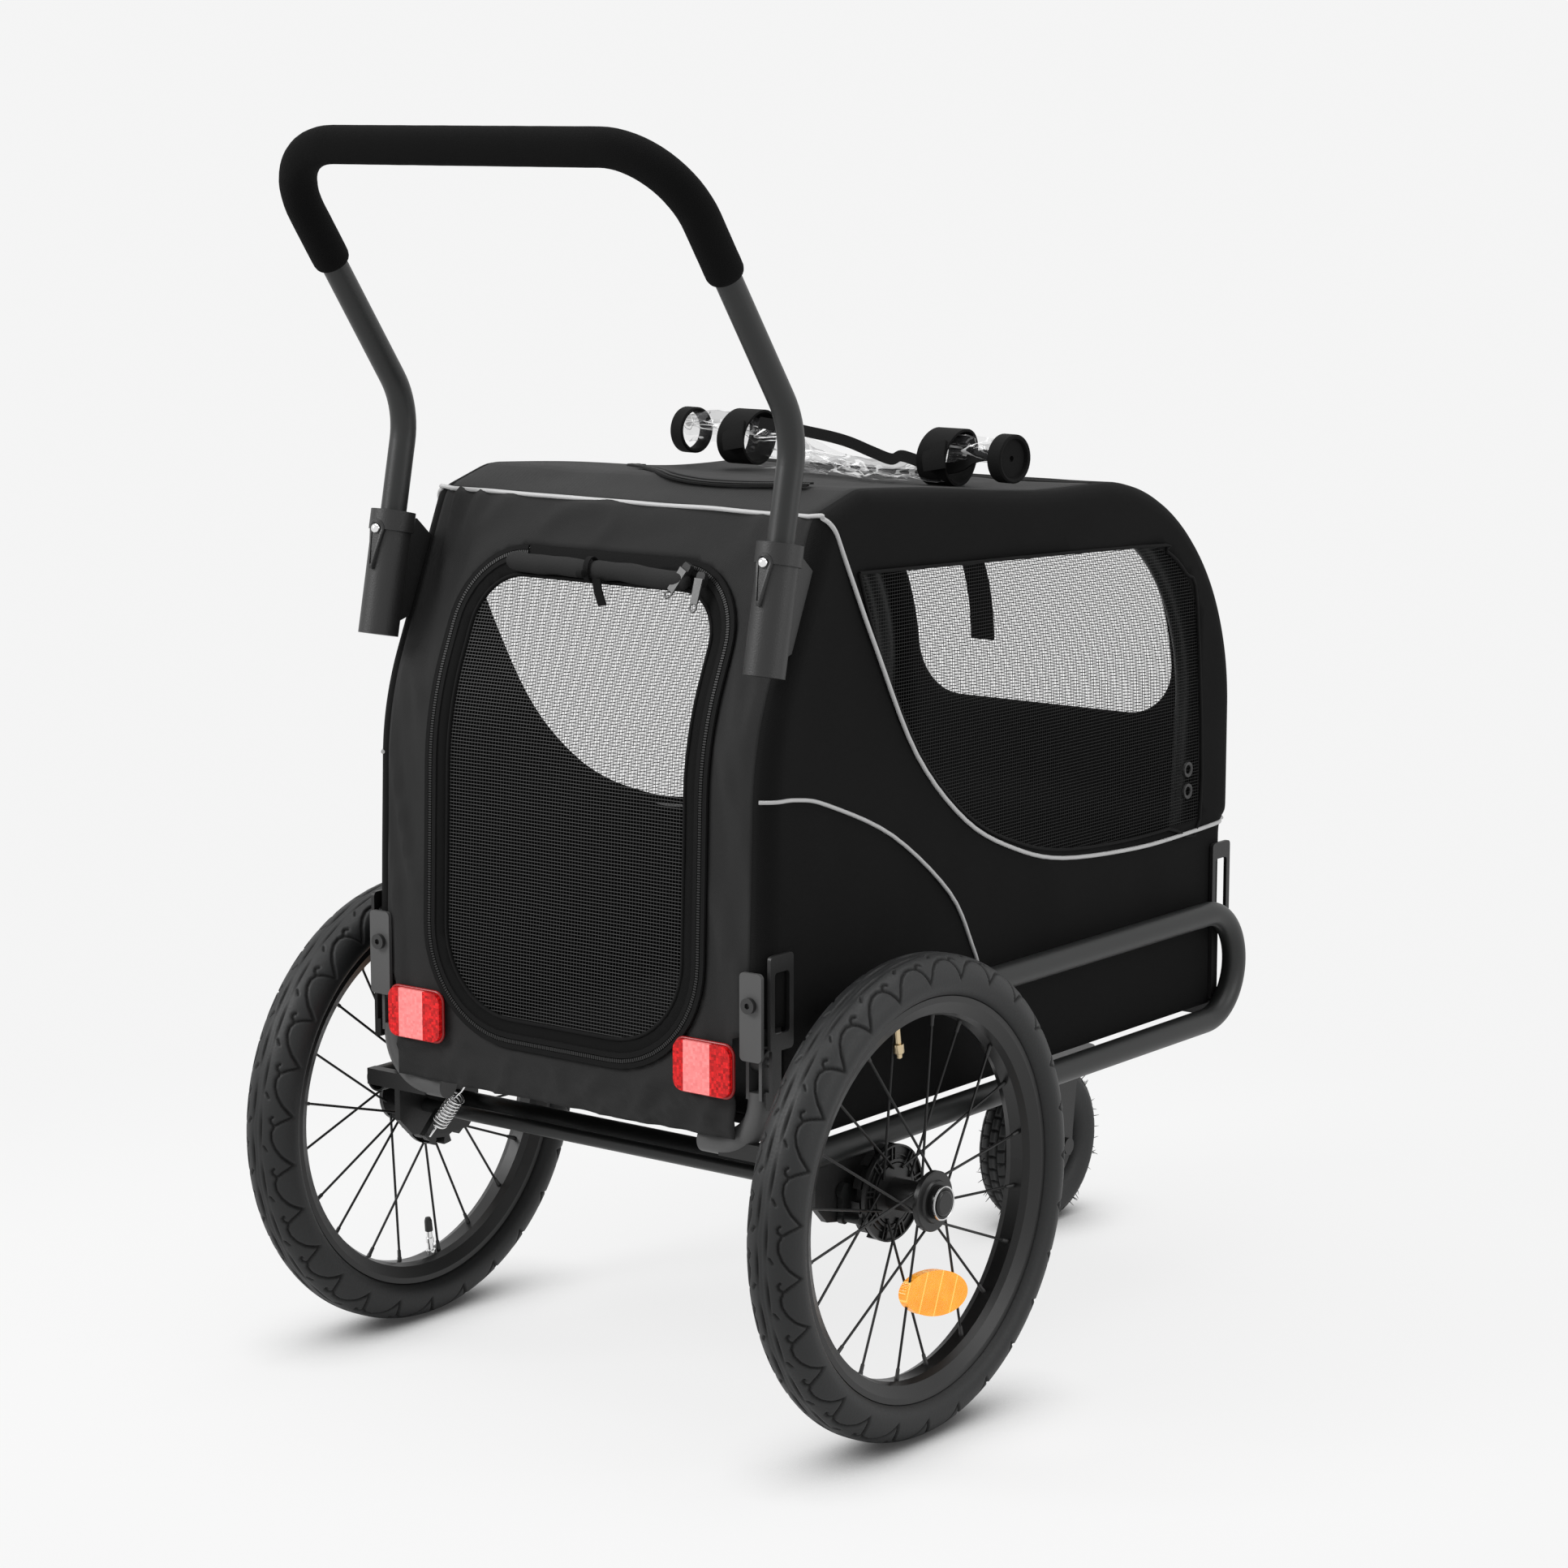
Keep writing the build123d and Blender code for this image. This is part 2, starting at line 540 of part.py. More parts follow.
rear = shell & block(-220, 220, -140, PIPING_Y - 1.5, FLOOR_Z + 8, 800)
rear_low = (rear & block(-181, 181, -140, 0, 200, FOLD_LINE_Z - 0.5)) - door_prism(0)
add("rear_panel_lower", rear_low)
web_x0, web_x1 = HANDLE_X - 6, HANDLE_X
web_room = block(web_x0 - GAP, web_x1 + 4, -130, -20, 630, 736)
rear_high = (rear & block(-220, 220, -140, 0, FOLD_LINE_Z, 800)) - door_prism(0) - hinge_room_pair
bolt_room = rod((BOLT_X, -130, BOLT_Z), (BOLT_X, -100, BOLT_Z), BOLT_R + GAP)
for room in on_both_sides(web_room) + on_both_sides(bolt_room):
    rear_high -= room
add("rear_panel_upper", rear_high)

# Rear door: bound edge band, mesh inside it, and the rolled flap sewn along its top
door = rear & door_prism(0.8)
add("rear_door_band", door - door_prism(DOOR_BAND))
add("rear_door_mesh", door & door_prism(DOOR_BAND + 0.2))
flap = rod((-90, -70, 700), (90, -70, 700), 8.5)
add("rear_flap_roll", fillet(flap.edges(), 3) - (rear & door_prism(0.5)))

# Red reflectors on the lower corners of the rear panel
reflectors = []
for x in (-157, 155):
    lens = Pos(x, -123.2, 314) * Box(58, 7, 42)
    reflectors.append(fillet(lens.edges().filter_by(Axis.Y), 9))
add("rear_reflectors", *reflectors)

# Rolled rain cover on the roof and its two straps
sag = FilletPolyline((-196, ROLL_Y + 14, ROLL_Z), (-70, ROLL_Y + 6, ROLL_Z), (60, ROLL_Y - 8, ROLL_Z - 1),
                     (196, ROLL_Y - 22, ROLL_Z), radius=[300, 300])
roll = sweep(Plane(origin=sag @ 0, z_dir=sag % 0) * Circle(ROLL_R), path=sag)
add("rain_cover_roll", roll)
straps = []
for x, y in ((-140, 12), (125, -15)):
    band = Plane.YZ * (Pos(ROLL_Y + y, ROLL_Z) * (Circle(STRAP_R) - Circle(STRAP_R - STRAP_SHEET)))
    straps.append(Pos(x - STRAP_W / 2, 0, 0) * extrude(band, amount=STRAP_W))
add("roll_straps", *straps)


# Folding hoops
def eye_lug(x, y, z, top_z):
    """A flat eye that turns on a hinge pin, below the hoop's tube end."""
    face = Pos(y, z) * Circle(9) + Pos(y, (z + top_z) / 2) * Rectangle(18, top_z - z)
    lug = Pos(x - LUG_HALF_W, 0, 0) * extrude(Plane.YZ * face, amount=2 * LUG_HALF_W)
    return lug - rod((x - 9, y, z), (x + 9, y, z), PIN_R + RUNNING_FIT)


REAR_FOOT_Z = REAR_HINGE_Z + 14
rear_points = [(REAR_HINGE_X, REAR_HINGE_Y, REAR_FOOT_Z), (REAR_HINGE_X, -93, 560), (REAR_HINGE_X, -20, 738)]
rear_points += [(-x, y, z) for x, y, z in reversed(rear_points)]
rear_hoop = tube(rear_points, [120, 40, 40, 120], HOOP_R)
FRONT_FOOT_Z = FRONT_HINGE_Z + 14
front_points = [(FRONT_HINGE_X, FRONT_HINGE_Y, FRONT_FOOT_Z), (FRONT_HINGE_X, 579, 634)]
front_points += [(FRONT_HINGE_X, 456, 705)]
front_points += [(-x, y, z) for x, y, z in reversed(front_points)]
front_hoop = tube(front_points, [180, 30, 30, 180], HOOP_R)
for lug in on_both_sides(eye_lug(REAR_HINGE_X, REAR_HINGE_Y, REAR_HINGE_Z, REAR_FOOT_Z + 6)):
    rear_hoop += lug
for lug in on_both_sides(eye_lug(FRONT_HINGE_X, FRONT_HINGE_Y, FRONT_HINGE_Z, FRONT_FOOT_Z + 6)):
    front_hoop += lug
add("rear_hoop", rear_hoop)
add("front_hoop", front_hoop)

# Flat steel tabs on the rear uprights, each held by one bolt
tab_face = Pos(TAB_X, TAB_Z) * RectangleRounded(22, 72, 4)
tab = extrude(Plane((0, TAB_FACE_Y, 0), x_dir=(1, 0, 0), z_dir=(0, -1, 0)) * tab_face, amount=TAB_SHEET)
tab_hole = rod((BOLT_X, -100, BOLT_Z), (BOLT_X, -125, BOLT_Z), BOLT_R + 0.1)
seat_y = TAB_FACE_Y - TAB_SHEET
head_y = seat_y - BOLT_HEAD_T
bolt = rod((BOLT_X, seat_y, BOLT_Z), (BOLT_X, head_y, BOLT_Z), BOLT_HEAD_R)
bolt += rod((BOLT_X, -112, BOLT_Z), (BOLT_X, seat_y - 0.3, BOLT_Z), BOLT_R)
bolt -= extrude(Plane((BOLT_X, head_y, BOLT_Z), z_dir=(0, 1, 0)) * RegularPolygon(2.6, 6), amount=2.5)
add("tab_plates", *on_both_sides(tab - tab_hole))
add("tab_bolts", *on_both_sides(bolt))

# Handle sockets: collared sleeves with a web to the upright, a button hole and a groove up to the mouth
leg_dir = (HANDLE_BEND - SOCKET_LOW).normalized()
back_dir = Vector(0, -leg_dir.Z, leg_dir.Y)
socket_top = SOCKET_LOW + leg_dir * SOCKET_LEN
button_at = SOCKET_LOW + leg_dir * 88


def at_x(point, x):
    return (x, point.Y, point.Z)


sleeve = rod(at_x(SOCKET_LOW, HANDLE_X), at_x(socket_top, HANDLE_X), SOCKET_R)
collar_low = socket_top - leg_dir * 17
collar = rod(at_x(collar_low, HANDLE_X), at_x(socket_top, HANDLE_X), SOCKET_R + 2)
web_outline = [(-100, 640), (-71, 648), (-50, 698), (-46, 710), (-66, 728), (-82, 728)]
web = plate(web_outline, web_x0, web_x1)
upright_room = bent_bar(rear_points[:3], [120], HOOP_R + 0.05)
bore_low = SOCKET_LOW + leg_dir * 6
bore = rod(at_x(bore_low, HANDLE_X), at_x(socket_top + leg_dir, HANDLE_X), HANDLE_R + 0.3)
button_plane = Plane(origin=at_x(button_at, HANDLE_X), x_dir=(1, 0, 0), z_dir=back_dir)
button_hole = extrude(button_plane * Circle(BUTTON_R + 0.5), amount=30)
groove_face = Pos(0, 25) * Rectangle(2 * BUTTON_R + 1, 50)
groove = extrude(button_plane * groove_face, amount=GROOVE_R)
socket = (sleeve + collar + (web - upright_room)) - bore - button_hole - groove
add("handle_sockets", *on_both_sides(socket.solids().sort_by(SortBy.VOLUME)[-1]))

# Push handle: bent tube, foam grip and the two snap buttons in its legs
leg_end = SOCKET_LOW + leg_dir * 8
CORNER_R = 68.0
half_points = [at_x(leg_end, HANDLE_X), at_x(HANDLE_BEND, HANDLE_X), at_x(HANDLE_TOP, HANDLE_X)]
handle_points = half_points + [(-x, y, z) for x, y, z in reversed(half_points)]
handle_tube = tube(handle_points, [70, CORNER_R, CORNER_R, 70], HANDLE_R, 2)
handle_holes = extrude(button_plane * Circle(BUTTON_R + 0.1), amount=30)
for hole in on_both_sides(handle_holes):
    handle_tube -= hole
add("handle_tube", handle_tube)
grip_half = [at_x(GRIP_END, HANDLE_X), at_x(HANDLE_TOP, HANDLE_X)]
grip_points = grip_half + [(-x, y, z) for x, y, z in reversed(grip_half)]
add("handle_grip", tube(grip_points, [CORNER_R, CORNER_R], GRIP_R, GRIP_R - HANDLE_R - 0.05))
for side_name in ("right", "left"):
    side = wheel_side(side_name)
    button = extrude(button_plane.offset(6) * Circle(BUTTON_R), amount=BUTTON_REACH - 6)
    button = fillet(button.edges().sort_by(Axis.Y)[0], 2)
    add(f"handle_button_{side_name}", mirrored(button, side))

# Front swivel wheel: housing under the front bow, fork with its stem, axle bolt, tyre and rim
front_bow_solid = rod((-60, FRONT_HINGE_Y, FRONT_BOW_Z), (60, FRONT_HINGE_Y, FRONT_BOW_Z), TUBE_R)
housing = rod((0, STEM_Y, 171), (0, STEM_Y, 240), 20) + rod((0, STEM_Y, 171), (0, STEM_Y, 177), 25)
housing -= rod((0, STEM_Y, 160), (0, STEM_Y, 229), STEM_R + RUNNING_FIT)
add("caster_housing", housing - front_bow_solid)
crown = block(-FORK_HALF_W, FORK_HALF_W, 524, 652, CROWN_TOP - FORK_SHEET, CROWN_TOP)
crown = fillet(crown.edges().filter_by(Axis.Z), 14)
leg_outline = [(532, 163.2), (644, 163.2), (644, 150), (612, 146), (602, 66), (578, 66), (566, 146), (532, 150)]
leg = plate(leg_outline, FORK_HALF_W - FORK_SHEET, FORK_HALF_W)
leg -= rod((20, FRONT_Y, FRONT_R), (40, FRONT_Y, FRONT_R), 5)
fork = crown + on_both_sides(leg) + rod((0, STEM_Y, CROWN_TOP - 1), (0, STEM_Y, 226), STEM_R)
fork += rod((0, STEM_Y, CROWN_TOP - 1), (0, STEM_Y, 170.5), 14)
add("caster_fork", fork)
bolt = rod((-36, FRONT_Y, FRONT_R), (36, FRONT_Y, FRONT_R), 5)
for x0, x1 in ((31, 37), (-37, -31)):
    bolt += rod((x0, FRONT_Y, FRONT_R), (x1, FRONT_Y, FRONT_R), 8)
add("caster_axle", bolt)
tread = ThreePointArc((FRONT_HALF_W, 66), (16, 75.2), (0, FRONT_R))
front_seat = Polyline((0, FRONT_RIM_R), (12, FRONT_RIM_R), (18, 50), (FRONT_HALF_W, 66))
front_half = make_face([front_seat, tread, Line((0, FRONT_R), (0, FRONT_RIM_R))])
front_tyre = revolve(front_half + mirror(front_half, about=Plane.YZ), axis=Axis.X)
add("front_tyre", Pos(0, FRONT_Y, FRONT_R) * front_tyre)
rim_profile = [(-24, 5.05), (-24, 11), (-9, 13), (-7, 34), (-12, FRONT_RIM_R), (12, FRONT_RIM_R), (7, 34),
               (9, 13), (24, 11), (24, 5.05)]
front_rim = revolve(make_face(Polyline(*rim_profile, close=True)), axis=Axis.X)
add("front_rim", Pos(0, FRONT_Y, FRONT_R) * front_rim)

os.makedirs("parts", exist_ok=True)
for name, shape in NODES.items():
    export_step(Pos(0, ORIGIN_SHIFT, 0) * shape, f"parts/{name}.step")
print(len(NODES), "nodes, origin shift", ORIGIN_SHIFT)
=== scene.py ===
import math
import bmesh
import bpy
import numpy as np
from mathutils import Matrix, Vector, noise
from mathutils.geometry import delaunay_2d_cdt


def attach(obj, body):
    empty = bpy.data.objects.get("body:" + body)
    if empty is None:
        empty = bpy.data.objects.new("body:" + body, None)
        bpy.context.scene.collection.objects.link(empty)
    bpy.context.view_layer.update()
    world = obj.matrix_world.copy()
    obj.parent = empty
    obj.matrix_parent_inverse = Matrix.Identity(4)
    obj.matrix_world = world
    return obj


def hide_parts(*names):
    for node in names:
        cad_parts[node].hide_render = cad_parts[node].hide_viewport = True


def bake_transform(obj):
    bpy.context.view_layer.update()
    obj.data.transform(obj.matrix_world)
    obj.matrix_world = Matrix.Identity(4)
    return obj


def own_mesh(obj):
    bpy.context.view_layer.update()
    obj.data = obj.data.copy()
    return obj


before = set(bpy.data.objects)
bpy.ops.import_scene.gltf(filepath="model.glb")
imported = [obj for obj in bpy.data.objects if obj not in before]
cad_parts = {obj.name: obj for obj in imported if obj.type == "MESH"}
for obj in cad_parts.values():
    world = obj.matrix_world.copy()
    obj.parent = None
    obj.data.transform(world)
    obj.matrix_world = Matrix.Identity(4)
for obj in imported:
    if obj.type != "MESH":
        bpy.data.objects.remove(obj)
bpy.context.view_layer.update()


# Studio: a pale floor that fades into an even backdrop, lit by large soft lamps, with a painted contact
# shadow under the stroller.
# The camera stands where the photograph was taken from, behind the stroller and to its right.
class Flow:
    """A socket of a node tree: arithmetic on it adds Math nodes, and add() puts in any other node."""

    def __init__(self, tree, socket=None):
        self.tree = tree
        self.socket = socket

    def add(self, kind, settings=None, sockets=None, output=0):
        """Puts in a node with its settings, and values or links for its sockets."""
        node = self.tree.nodes.new(kind)
        for name, value in (settings or {}).items():
            setattr(node, name, value)
        for name, value in (sockets or {}).items():
            if isinstance(value, Flow):
                self.tree.links.new(value.socket, node.inputs[name])
            else:
                node.inputs[name].default_value = value
        return Flow(self.tree, node.outputs[output])

    def into(self, node, name):
        """Links this socket to a node's input."""
        self.tree.links.new(self.socket, node.inputs[name])

    def maths(self, operation, *others):
        """A Math node on this socket, and on a second value where it takes one."""
        return self.add("ShaderNodeMath", {"operation": operation}, dict(enumerate((self, *others))))

    def mix(self, factor, *ends):
        """A colour between two ends, each a colour or a socket."""
        ends = [end if isinstance(end, Flow) else rgba(end) for end in ends]
        return self.add("ShaderNodeMix", {"data_type": "RGBA"}, {"Factor": factor, 6: ends[0], 7: ends[1]}, 2)

    def bump(self, depth, shader):
        """Makes this socket the height of a shader's skin."""
        self.add("ShaderNodeBump", None, {"Height": self, "Distance": depth}).into(shader, "Normal")

    def __add__(self, other):
        return self.maths("ADD", other)

    def __sub__(self, other):
        return self.maths("SUBTRACT", other)

    def __rsub__(self, other):
        return self.add("ShaderNodeMath", {"operation": "SUBTRACT"}, {0: other, 1: self})

    def __mul__(self, other):
        return self.maths("MULTIPLY", other)

    def __truediv__(self, other):
        return self.maths("DIVIDE", other)

    def __rtruediv__(self, other):
        return self.add("ShaderNodeMath", {"operation": "DIVIDE"}, {0: other, 1: self})

    def __gt__(self, other):
        return self.maths("GREATER_THAN", other)

    def __lt__(self, other):
        return self.maths("LESS_THAN", other)

    __radd__ = __add__
    __rmul__ = __mul__


def rgba(colour):
    """A shader's colour, from one grey number or from three."""
    return (*((colour,) * 3 if isinstance(colour, float) else colour), 1)


def put(name, data):
    """An object for a mesh, lamp or camera, put in the scene."""
    made = bpy.data.objects.new(name, data)
    scene.collection.objects.link(made)
    return made


BACKDROP = 0.910
STUDIO_LIGHT = 0.40
scene = bpy.context.scene
scene.view_settings.view_transform = "Standard"
world = bpy.data.worlds.new("studio")
world.use_nodes = True
scene.world = world
air = Flow(world.node_tree)
seen = air.add("ShaderNodeLightPath", output="Is Camera Ray")
for ray in ("Is Glossy Ray", "Is Transmission Ray"):
    seen = seen + air.add("ShaderNodeLightPath", output=ray)
seen = seen.maths("MINIMUM", 1.0)
world.node_tree.nodes["Background"].inputs["Color"].default_value = (1, 1, 1, 1)
(seen * (BACKDROP - STUDIO_LIGHT) + STUDIO_LIGHT).into(world.node_tree.nodes["Background"], "Strength")


def lamp(name, place, aim, size, watts):
    """A square soft lamp that the camera doesn't see."""
    data = bpy.data.lights.new(name, "AREA")
    data.size = size
    data.energy = watts
    made = put(name, data)
    made.location = place
    made.rotation_euler = (Vector(aim) - Vector(place)).to_track_quat("-Z", "Y").to_euler()
    made.visible_camera = False


lamp("key_softbox", (-1.9, -2.6, 2.5), (0, 0, 0.5), 1.5, 85)
lamp("top_softbox", (0.1, 0.2, 3.2), (0, 0, 0), 2.4, 50)
lamp("side_softbox", (3.0, 0.6, 1.6), (0, 0, 0.4), 1.6, 22)

FLOOR_REACH = 40.0
NEAR_GLOW = 0.945
GLOW_SHARE = 0.85
PAINTED_SHADOW_REACH = 0.09
PAINTED_SHADOW_DARK = 0.05
PAINTED_SHADOW_OPEN = 0.97
PAINTED_SHADOW_SHUT = 0.2
floor_corners = [(-FLOOR_REACH, -FLOOR_REACH, 0), (FLOOR_REACH, -FLOOR_REACH, 0)]
floor_corners += [(FLOOR_REACH, FLOOR_REACH, 0), (-FLOOR_REACH, FLOOR_REACH, 0)]
floor_mesh = bpy.data.meshes.new("studio_floor")
floor_mesh.from_pydata(floor_corners, [], [(0, 1, 2, 3)])
studio_floor = put("studio_floor", floor_mesh)
floor_paint = bpy.data.materials.new("studio_floor")
floor_paint.use_nodes = True
floor_paint.node_tree.nodes.clear()
ground = Flow(floor_paint.node_tree)
away = ground.add("ShaderNodeTexCoord", output="Object")
away = ground.add("ShaderNodeVectorMath", {"operation": "LENGTH"}, {0: away}, "Value")
fade = ground.add("ShaderNodeMapRange", {"interpolation_type": "SMOOTHSTEP"},
                  {"Value": away, "From Min": 0.55, "From Max": 1.3})
# painted contact shadow: the floor's glow dims where ambient occlusion finds it closed in, darkest under the
# tyres
painted_shadow_level = ground.add("ShaderNodeAmbientOcclusion", {"samples": 12}, {"Distance": PAINTED_SHADOW_REACH}, "AO")
painted_shadow_level = ground.add("ShaderNodeMapRange", {"interpolation_type": "SMOOTHSTEP"},
                      {"Value": painted_shadow_level, "From Min": PAINTED_SHADOW_SHUT, "From Max": PAINTED_SHADOW_OPEN,
                       "To Min": PAINTED_SHADOW_DARK})
matt = ground.add("ShaderNodeBsdfDiffuse", sockets={"Color": rgba(0.80)})
glow_near = ground.add("ShaderNodeEmission", sockets={"Color": rgba(NEAR_GLOW), "Strength": painted_shadow_level})
glow_far = ground.add("ShaderNodeEmission", sockets={"Color": rgba(BACKDROP)})
near = ground.add("ShaderNodeMixShader", sockets={0: GLOW_SHARE, 1: matt, 2: glow_near})
whole = ground.add("ShaderNodeMixShader", sockets={0: fade, 1: near, 2: glow_far})
whole.into(floor_paint.node_tree.nodes.new("ShaderNodeOutputMaterial"), "Surface")
floor_mesh.materials.append(floor_paint)

VIEW_AZIMUTH = math.radians(37.53)
VIEW_HEIGHT = math.radians(9.834)
EYE = (2.0865, -2.7465, 1.0798)
lens = bpy.data.cameras.new("camera")
lens.lens = 90.97
lens.sensor_width = 36.0
camera = put("camera", lens)
view_back = Vector((math.sin(VIEW_AZIMUTH) * math.cos(VIEW_HEIGHT),
                    -math.cos(VIEW_AZIMUTH) * math.cos(VIEW_HEIGHT), math.sin(VIEW_HEIGHT)))
view_right = Vector((math.cos(VIEW_AZIMUTH), math.sin(VIEW_AZIMUTH), 0))
turn = Matrix((view_right, view_back.cross(view_right), view_back)).transposed()
camera.matrix_world = Matrix.Translation(EYE) @ turn.to_4x4()
scene.camera = camera


# Chassis: bent steel tube and pressed plates with a satin black powder coat.
# The rails, bows and axle beam are welded; brackets and hinge pins join them to the folding hoops.
def surface(name, colour, roughness, metallic=0.0, specular=0.5, pattern=None):
    """A material of one principled shader; pattern adds the nodes that vary it."""
    made = bpy.data.materials.new(name)
    made.use_nodes = True
    shader = made.node_tree.nodes["Principled BSDF"]
    shader.inputs["Base Color"].default_value = rgba(colour)
    shader.inputs["Roughness"].default_value = roughness
    shader.inputs["Metallic"].default_value = metallic
    shader.inputs["Specular IOR Level"].default_value = specular
    if pattern:
        pattern(Flow(made.node_tree), shader)
    return made


def grain(scale, depth, rough=None):
    """Fine uneven skin, in object coordinates; rough is the range of roughness it spans."""
    def pattern(flow, shader):
        spot = flow.add("ShaderNodeTexCoord", output="Object")
        speck = flow.add("ShaderNodeTexNoise", None, {"Vector": spot, "Scale": scale, "Detail": 3.0})
        speck.bump(depth, shader)
        if rough:
            (speck * (rough[1] - rough[0]) + rough[0]).into(shader, "Roughness")
    return pattern


def paint(material, *names):
    """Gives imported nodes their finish."""
    for name in names:
        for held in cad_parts[name].material_slots:
            held.material = material


black_tube = surface("black_tube", (0.0098, 0.0105, 0.0103), 0.4, specular=0.42,
                     pattern=grain(900.0, 0.00012, (0.37, 0.48)))
black_plate = surface("black_plate", 0.0085, 0.42, specular=0.4, pattern=grain(600.0, 0.0001, (0.38, 0.5)))
grey_steel = surface("grey_steel", 0.078, 0.46, specular=0.4, pattern=grain(500.0, 0.0001, (0.4, 0.54)))
bright_steel = surface("bright_steel", 0.62, 0.24, 1.0, pattern=grain(300.0, 0.00004, (0.18, 0.3)))
board_black = surface("board_black", 0.012, 0.7, specular=0.2, pattern=grain(200.0, 0.0004))
paint(black_tube, "side_rail_right", "side_rail_left", "front_bow", "axle_beam", "rear_hoop", "front_hoop",
      "handle_tube", "brake_bar")
paint(black_plate, "frame_lugs", "corner_brackets", "dropout_right", "dropout_left", "caster_fork",
      "caster_housing")
paint(grey_steel, "tab_plates", "rear_bow")
paint(bright_steel, "hinge_pins")
paint(board_black, "floor_board")
paint(surface("bolt_black", 0.02, 0.28, pattern=grain(500.0, 0.00005, (0.24, 0.34))), "tab_bolts")


# Rear wheels: moulded rubber tyre with a scalloped tread on a black aluminium channel rim.
# Laced steel spokes with nipples, a plastic hub and brake disc, a metal valve and a clipped amber lens.
SHIFT = -214.5


def loft(rings, closed=False):
    """(points, faces) through rings of equal length, with a face on each end unless closed."""
    count = len(rings[0])
    points = [tuple(p) for ring in rings for p in ring]
    faces = []
    for i in range(len(rings) if closed else len(rings) - 1):
        a = i * count
        b = (i + 1) % len(rings) * count
        for j in range(count):
            k = (j + 1) % count
            faces.append((a + j, a + k, b + k, b + j))
    if not closed:
        faces.append(tuple(range(count)))
        faces.append(tuple(range((len(rings) - 1) * count, len(rings) * count)))
    return points, faces


def circle(radius, sides):
    """Section of a round bar, as (side, up) pairs."""
    steps = [2 * math.pi * n / sides for n in range(sides)]
    return [(radius * math.cos(a), radius * math.sin(a)) for a in steps]


def strip(side, up):
    """Section of a flat strip, as (side, up) pairs from its half width and half thickness."""
    return [(side, -up), (side, up), (-side, up), (-side, -up)]


def turned(origin, axis, profile, sides=24, closed=False):
    """A solid turned about an axis, from (distance along it, radius) pairs."""
    axis = Vector(axis).normalized()
    across = axis.orthogonal().normalized()
    other = axis.cross(across)
    rings = []
    for reach, radius in profile:
        centre = Vector(origin) + axis * reach
        rings.append([centre + across * a + other * b for a, b in circle(radius, sides)])
    return loft(rings, closed)


def sweep(path, section, up=(0, 0, 1), closed=False):
    """Carries a section along a path; section is (side, up) pairs, or a function of the share of the path."""
    path = [Vector(p) for p in path]
    normal = Vector(up)
    rings = []
    for i, point in enumerate(path):
        before = path[i - 1] if i or closed else path[0]
        after = path[(i + 1) % len(path)] if i < len(path) - 1 or closed else path[-1]
        along = (after - before).normalized()
        normal = (normal - along * normal.dot(along)).normalized()
        side = along.cross(normal)
        shape = section(i / (len(path) - 1)) if callable(section) else section
        rings.append([point + side * a + normal * b for a, b in shape])
    return loft(rings, closed)


def smooth_path(points, steps=8):
    """A curve through points."""
    points = [Vector(p) for p in points]
    ends = [points[0] * 2 - points[1]] + points + [points[-1] * 2 - points[-2]]
    made = []
    for a, b, c, d in zip(ends, ends[1:], ends[2:], ends[3:]):
        for n in range(steps):
            t = n / steps
            made.append(0.5 * (2 * b + (c - a) * t + (2 * a - 5 * b + 4 * c - d) * t * t
                               + (3 * b - a - 3 * c + d) * t ** 3))
    return made + [points[-1]]


def metres(points):
    """Millimetres from the rear axle as metres in the shared frame."""
    return [(x / 1000, (y + SHIFT) / 1000, z / 1000) for x, y, z in points]


def clean(mesh):
    """Merges doubled points and turns the faces outwards."""
    work = bmesh.new()
    work.from_mesh(mesh)
    bmesh.ops.remove_doubles(work, verts=work.verts, dist=0.00001)
    bmesh.ops.recalc_face_normals(work, faces=work.faces)
    work.to_mesh(mesh)
    work.free()


def build(name, shapes, material, body=None, sharp=40.0, groove_shade_marks=None):
    """One mesh object of (points, faces) shapes in millimetres from the rear axle; its optional marks give
    its points painted shade.
    """
    mesh = bpy.data.meshes.new(name)
    points = []
    faces = []
    for shape_points, shape_faces in shapes:
        start = len(points)
        points += metres(shape_points)
        faces += [tuple(i + start for i in face) for face in shape_faces]
    mesh.from_pydata(points, [], faces)
    if groove_shade_marks is not None:
        mesh.attributes.new("groove", "FLOAT", "POINT").data.foreach_set("value", groove_shade_marks)
    clean(mesh)
    mesh.shade_smooth()
    mesh.set_sharp_from_angle(angle=math.radians(sharp))
    mesh.materials.append(material)
    made = put(name, mesh)
    if body:
        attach(made, body)
    return made


def repeat_tree():
    """Geometry nodes that set one piece on every point, turned and sized by the points' own attributes."""
    tree = bpy.data.node_groups.new("repeat", "GeometryNodeTree")
    tree.interface.new_socket("Points", in_out="INPUT", socket_type="NodeSocketGeometry")
    tree.interface.new_socket("Piece", in_out="INPUT", socket_type="NodeSocketObject")
    tree.interface.new_socket("Finish", in_out="INPUT", socket_type="NodeSocketMaterial")
    tree.interface.new_socket("Geometry", in_out="OUTPUT", socket_type="NodeSocketGeometry")
    flow = Flow(tree)
    source = tree.nodes.new("NodeGroupInput")
    points, piece, coat = (Flow(tree, source.outputs[n]) for n in range(3))
    shape = flow.add("GeometryNodeObjectInfo", None, {"Object": piece}, "Geometry")
    turn_by = flow.add("GeometryNodeInputNamedAttribute", {"data_type": "FLOAT_VECTOR"}, {"Name": "turn"})
    size_by = flow.add("GeometryNodeInputNamedAttribute", {"data_type": "FLOAT_VECTOR"}, {"Name": "size"})
    placed = flow.add("GeometryNodeInstanceOnPoints", None,
                      {"Points": points, "Instance": shape, "Rotation": turn_by, "Scale": size_by})
    placed = flow.add("GeometryNodeRealizeInstances", None, {"Geometry": placed})
    placed = flow.add("GeometryNodeSetMaterial", None, {"Geometry": placed, "Material": coat})
    placed.into(tree.nodes.new("NodeGroupOutput"), 0)
    return tree


REPEAT = repeat_tree()


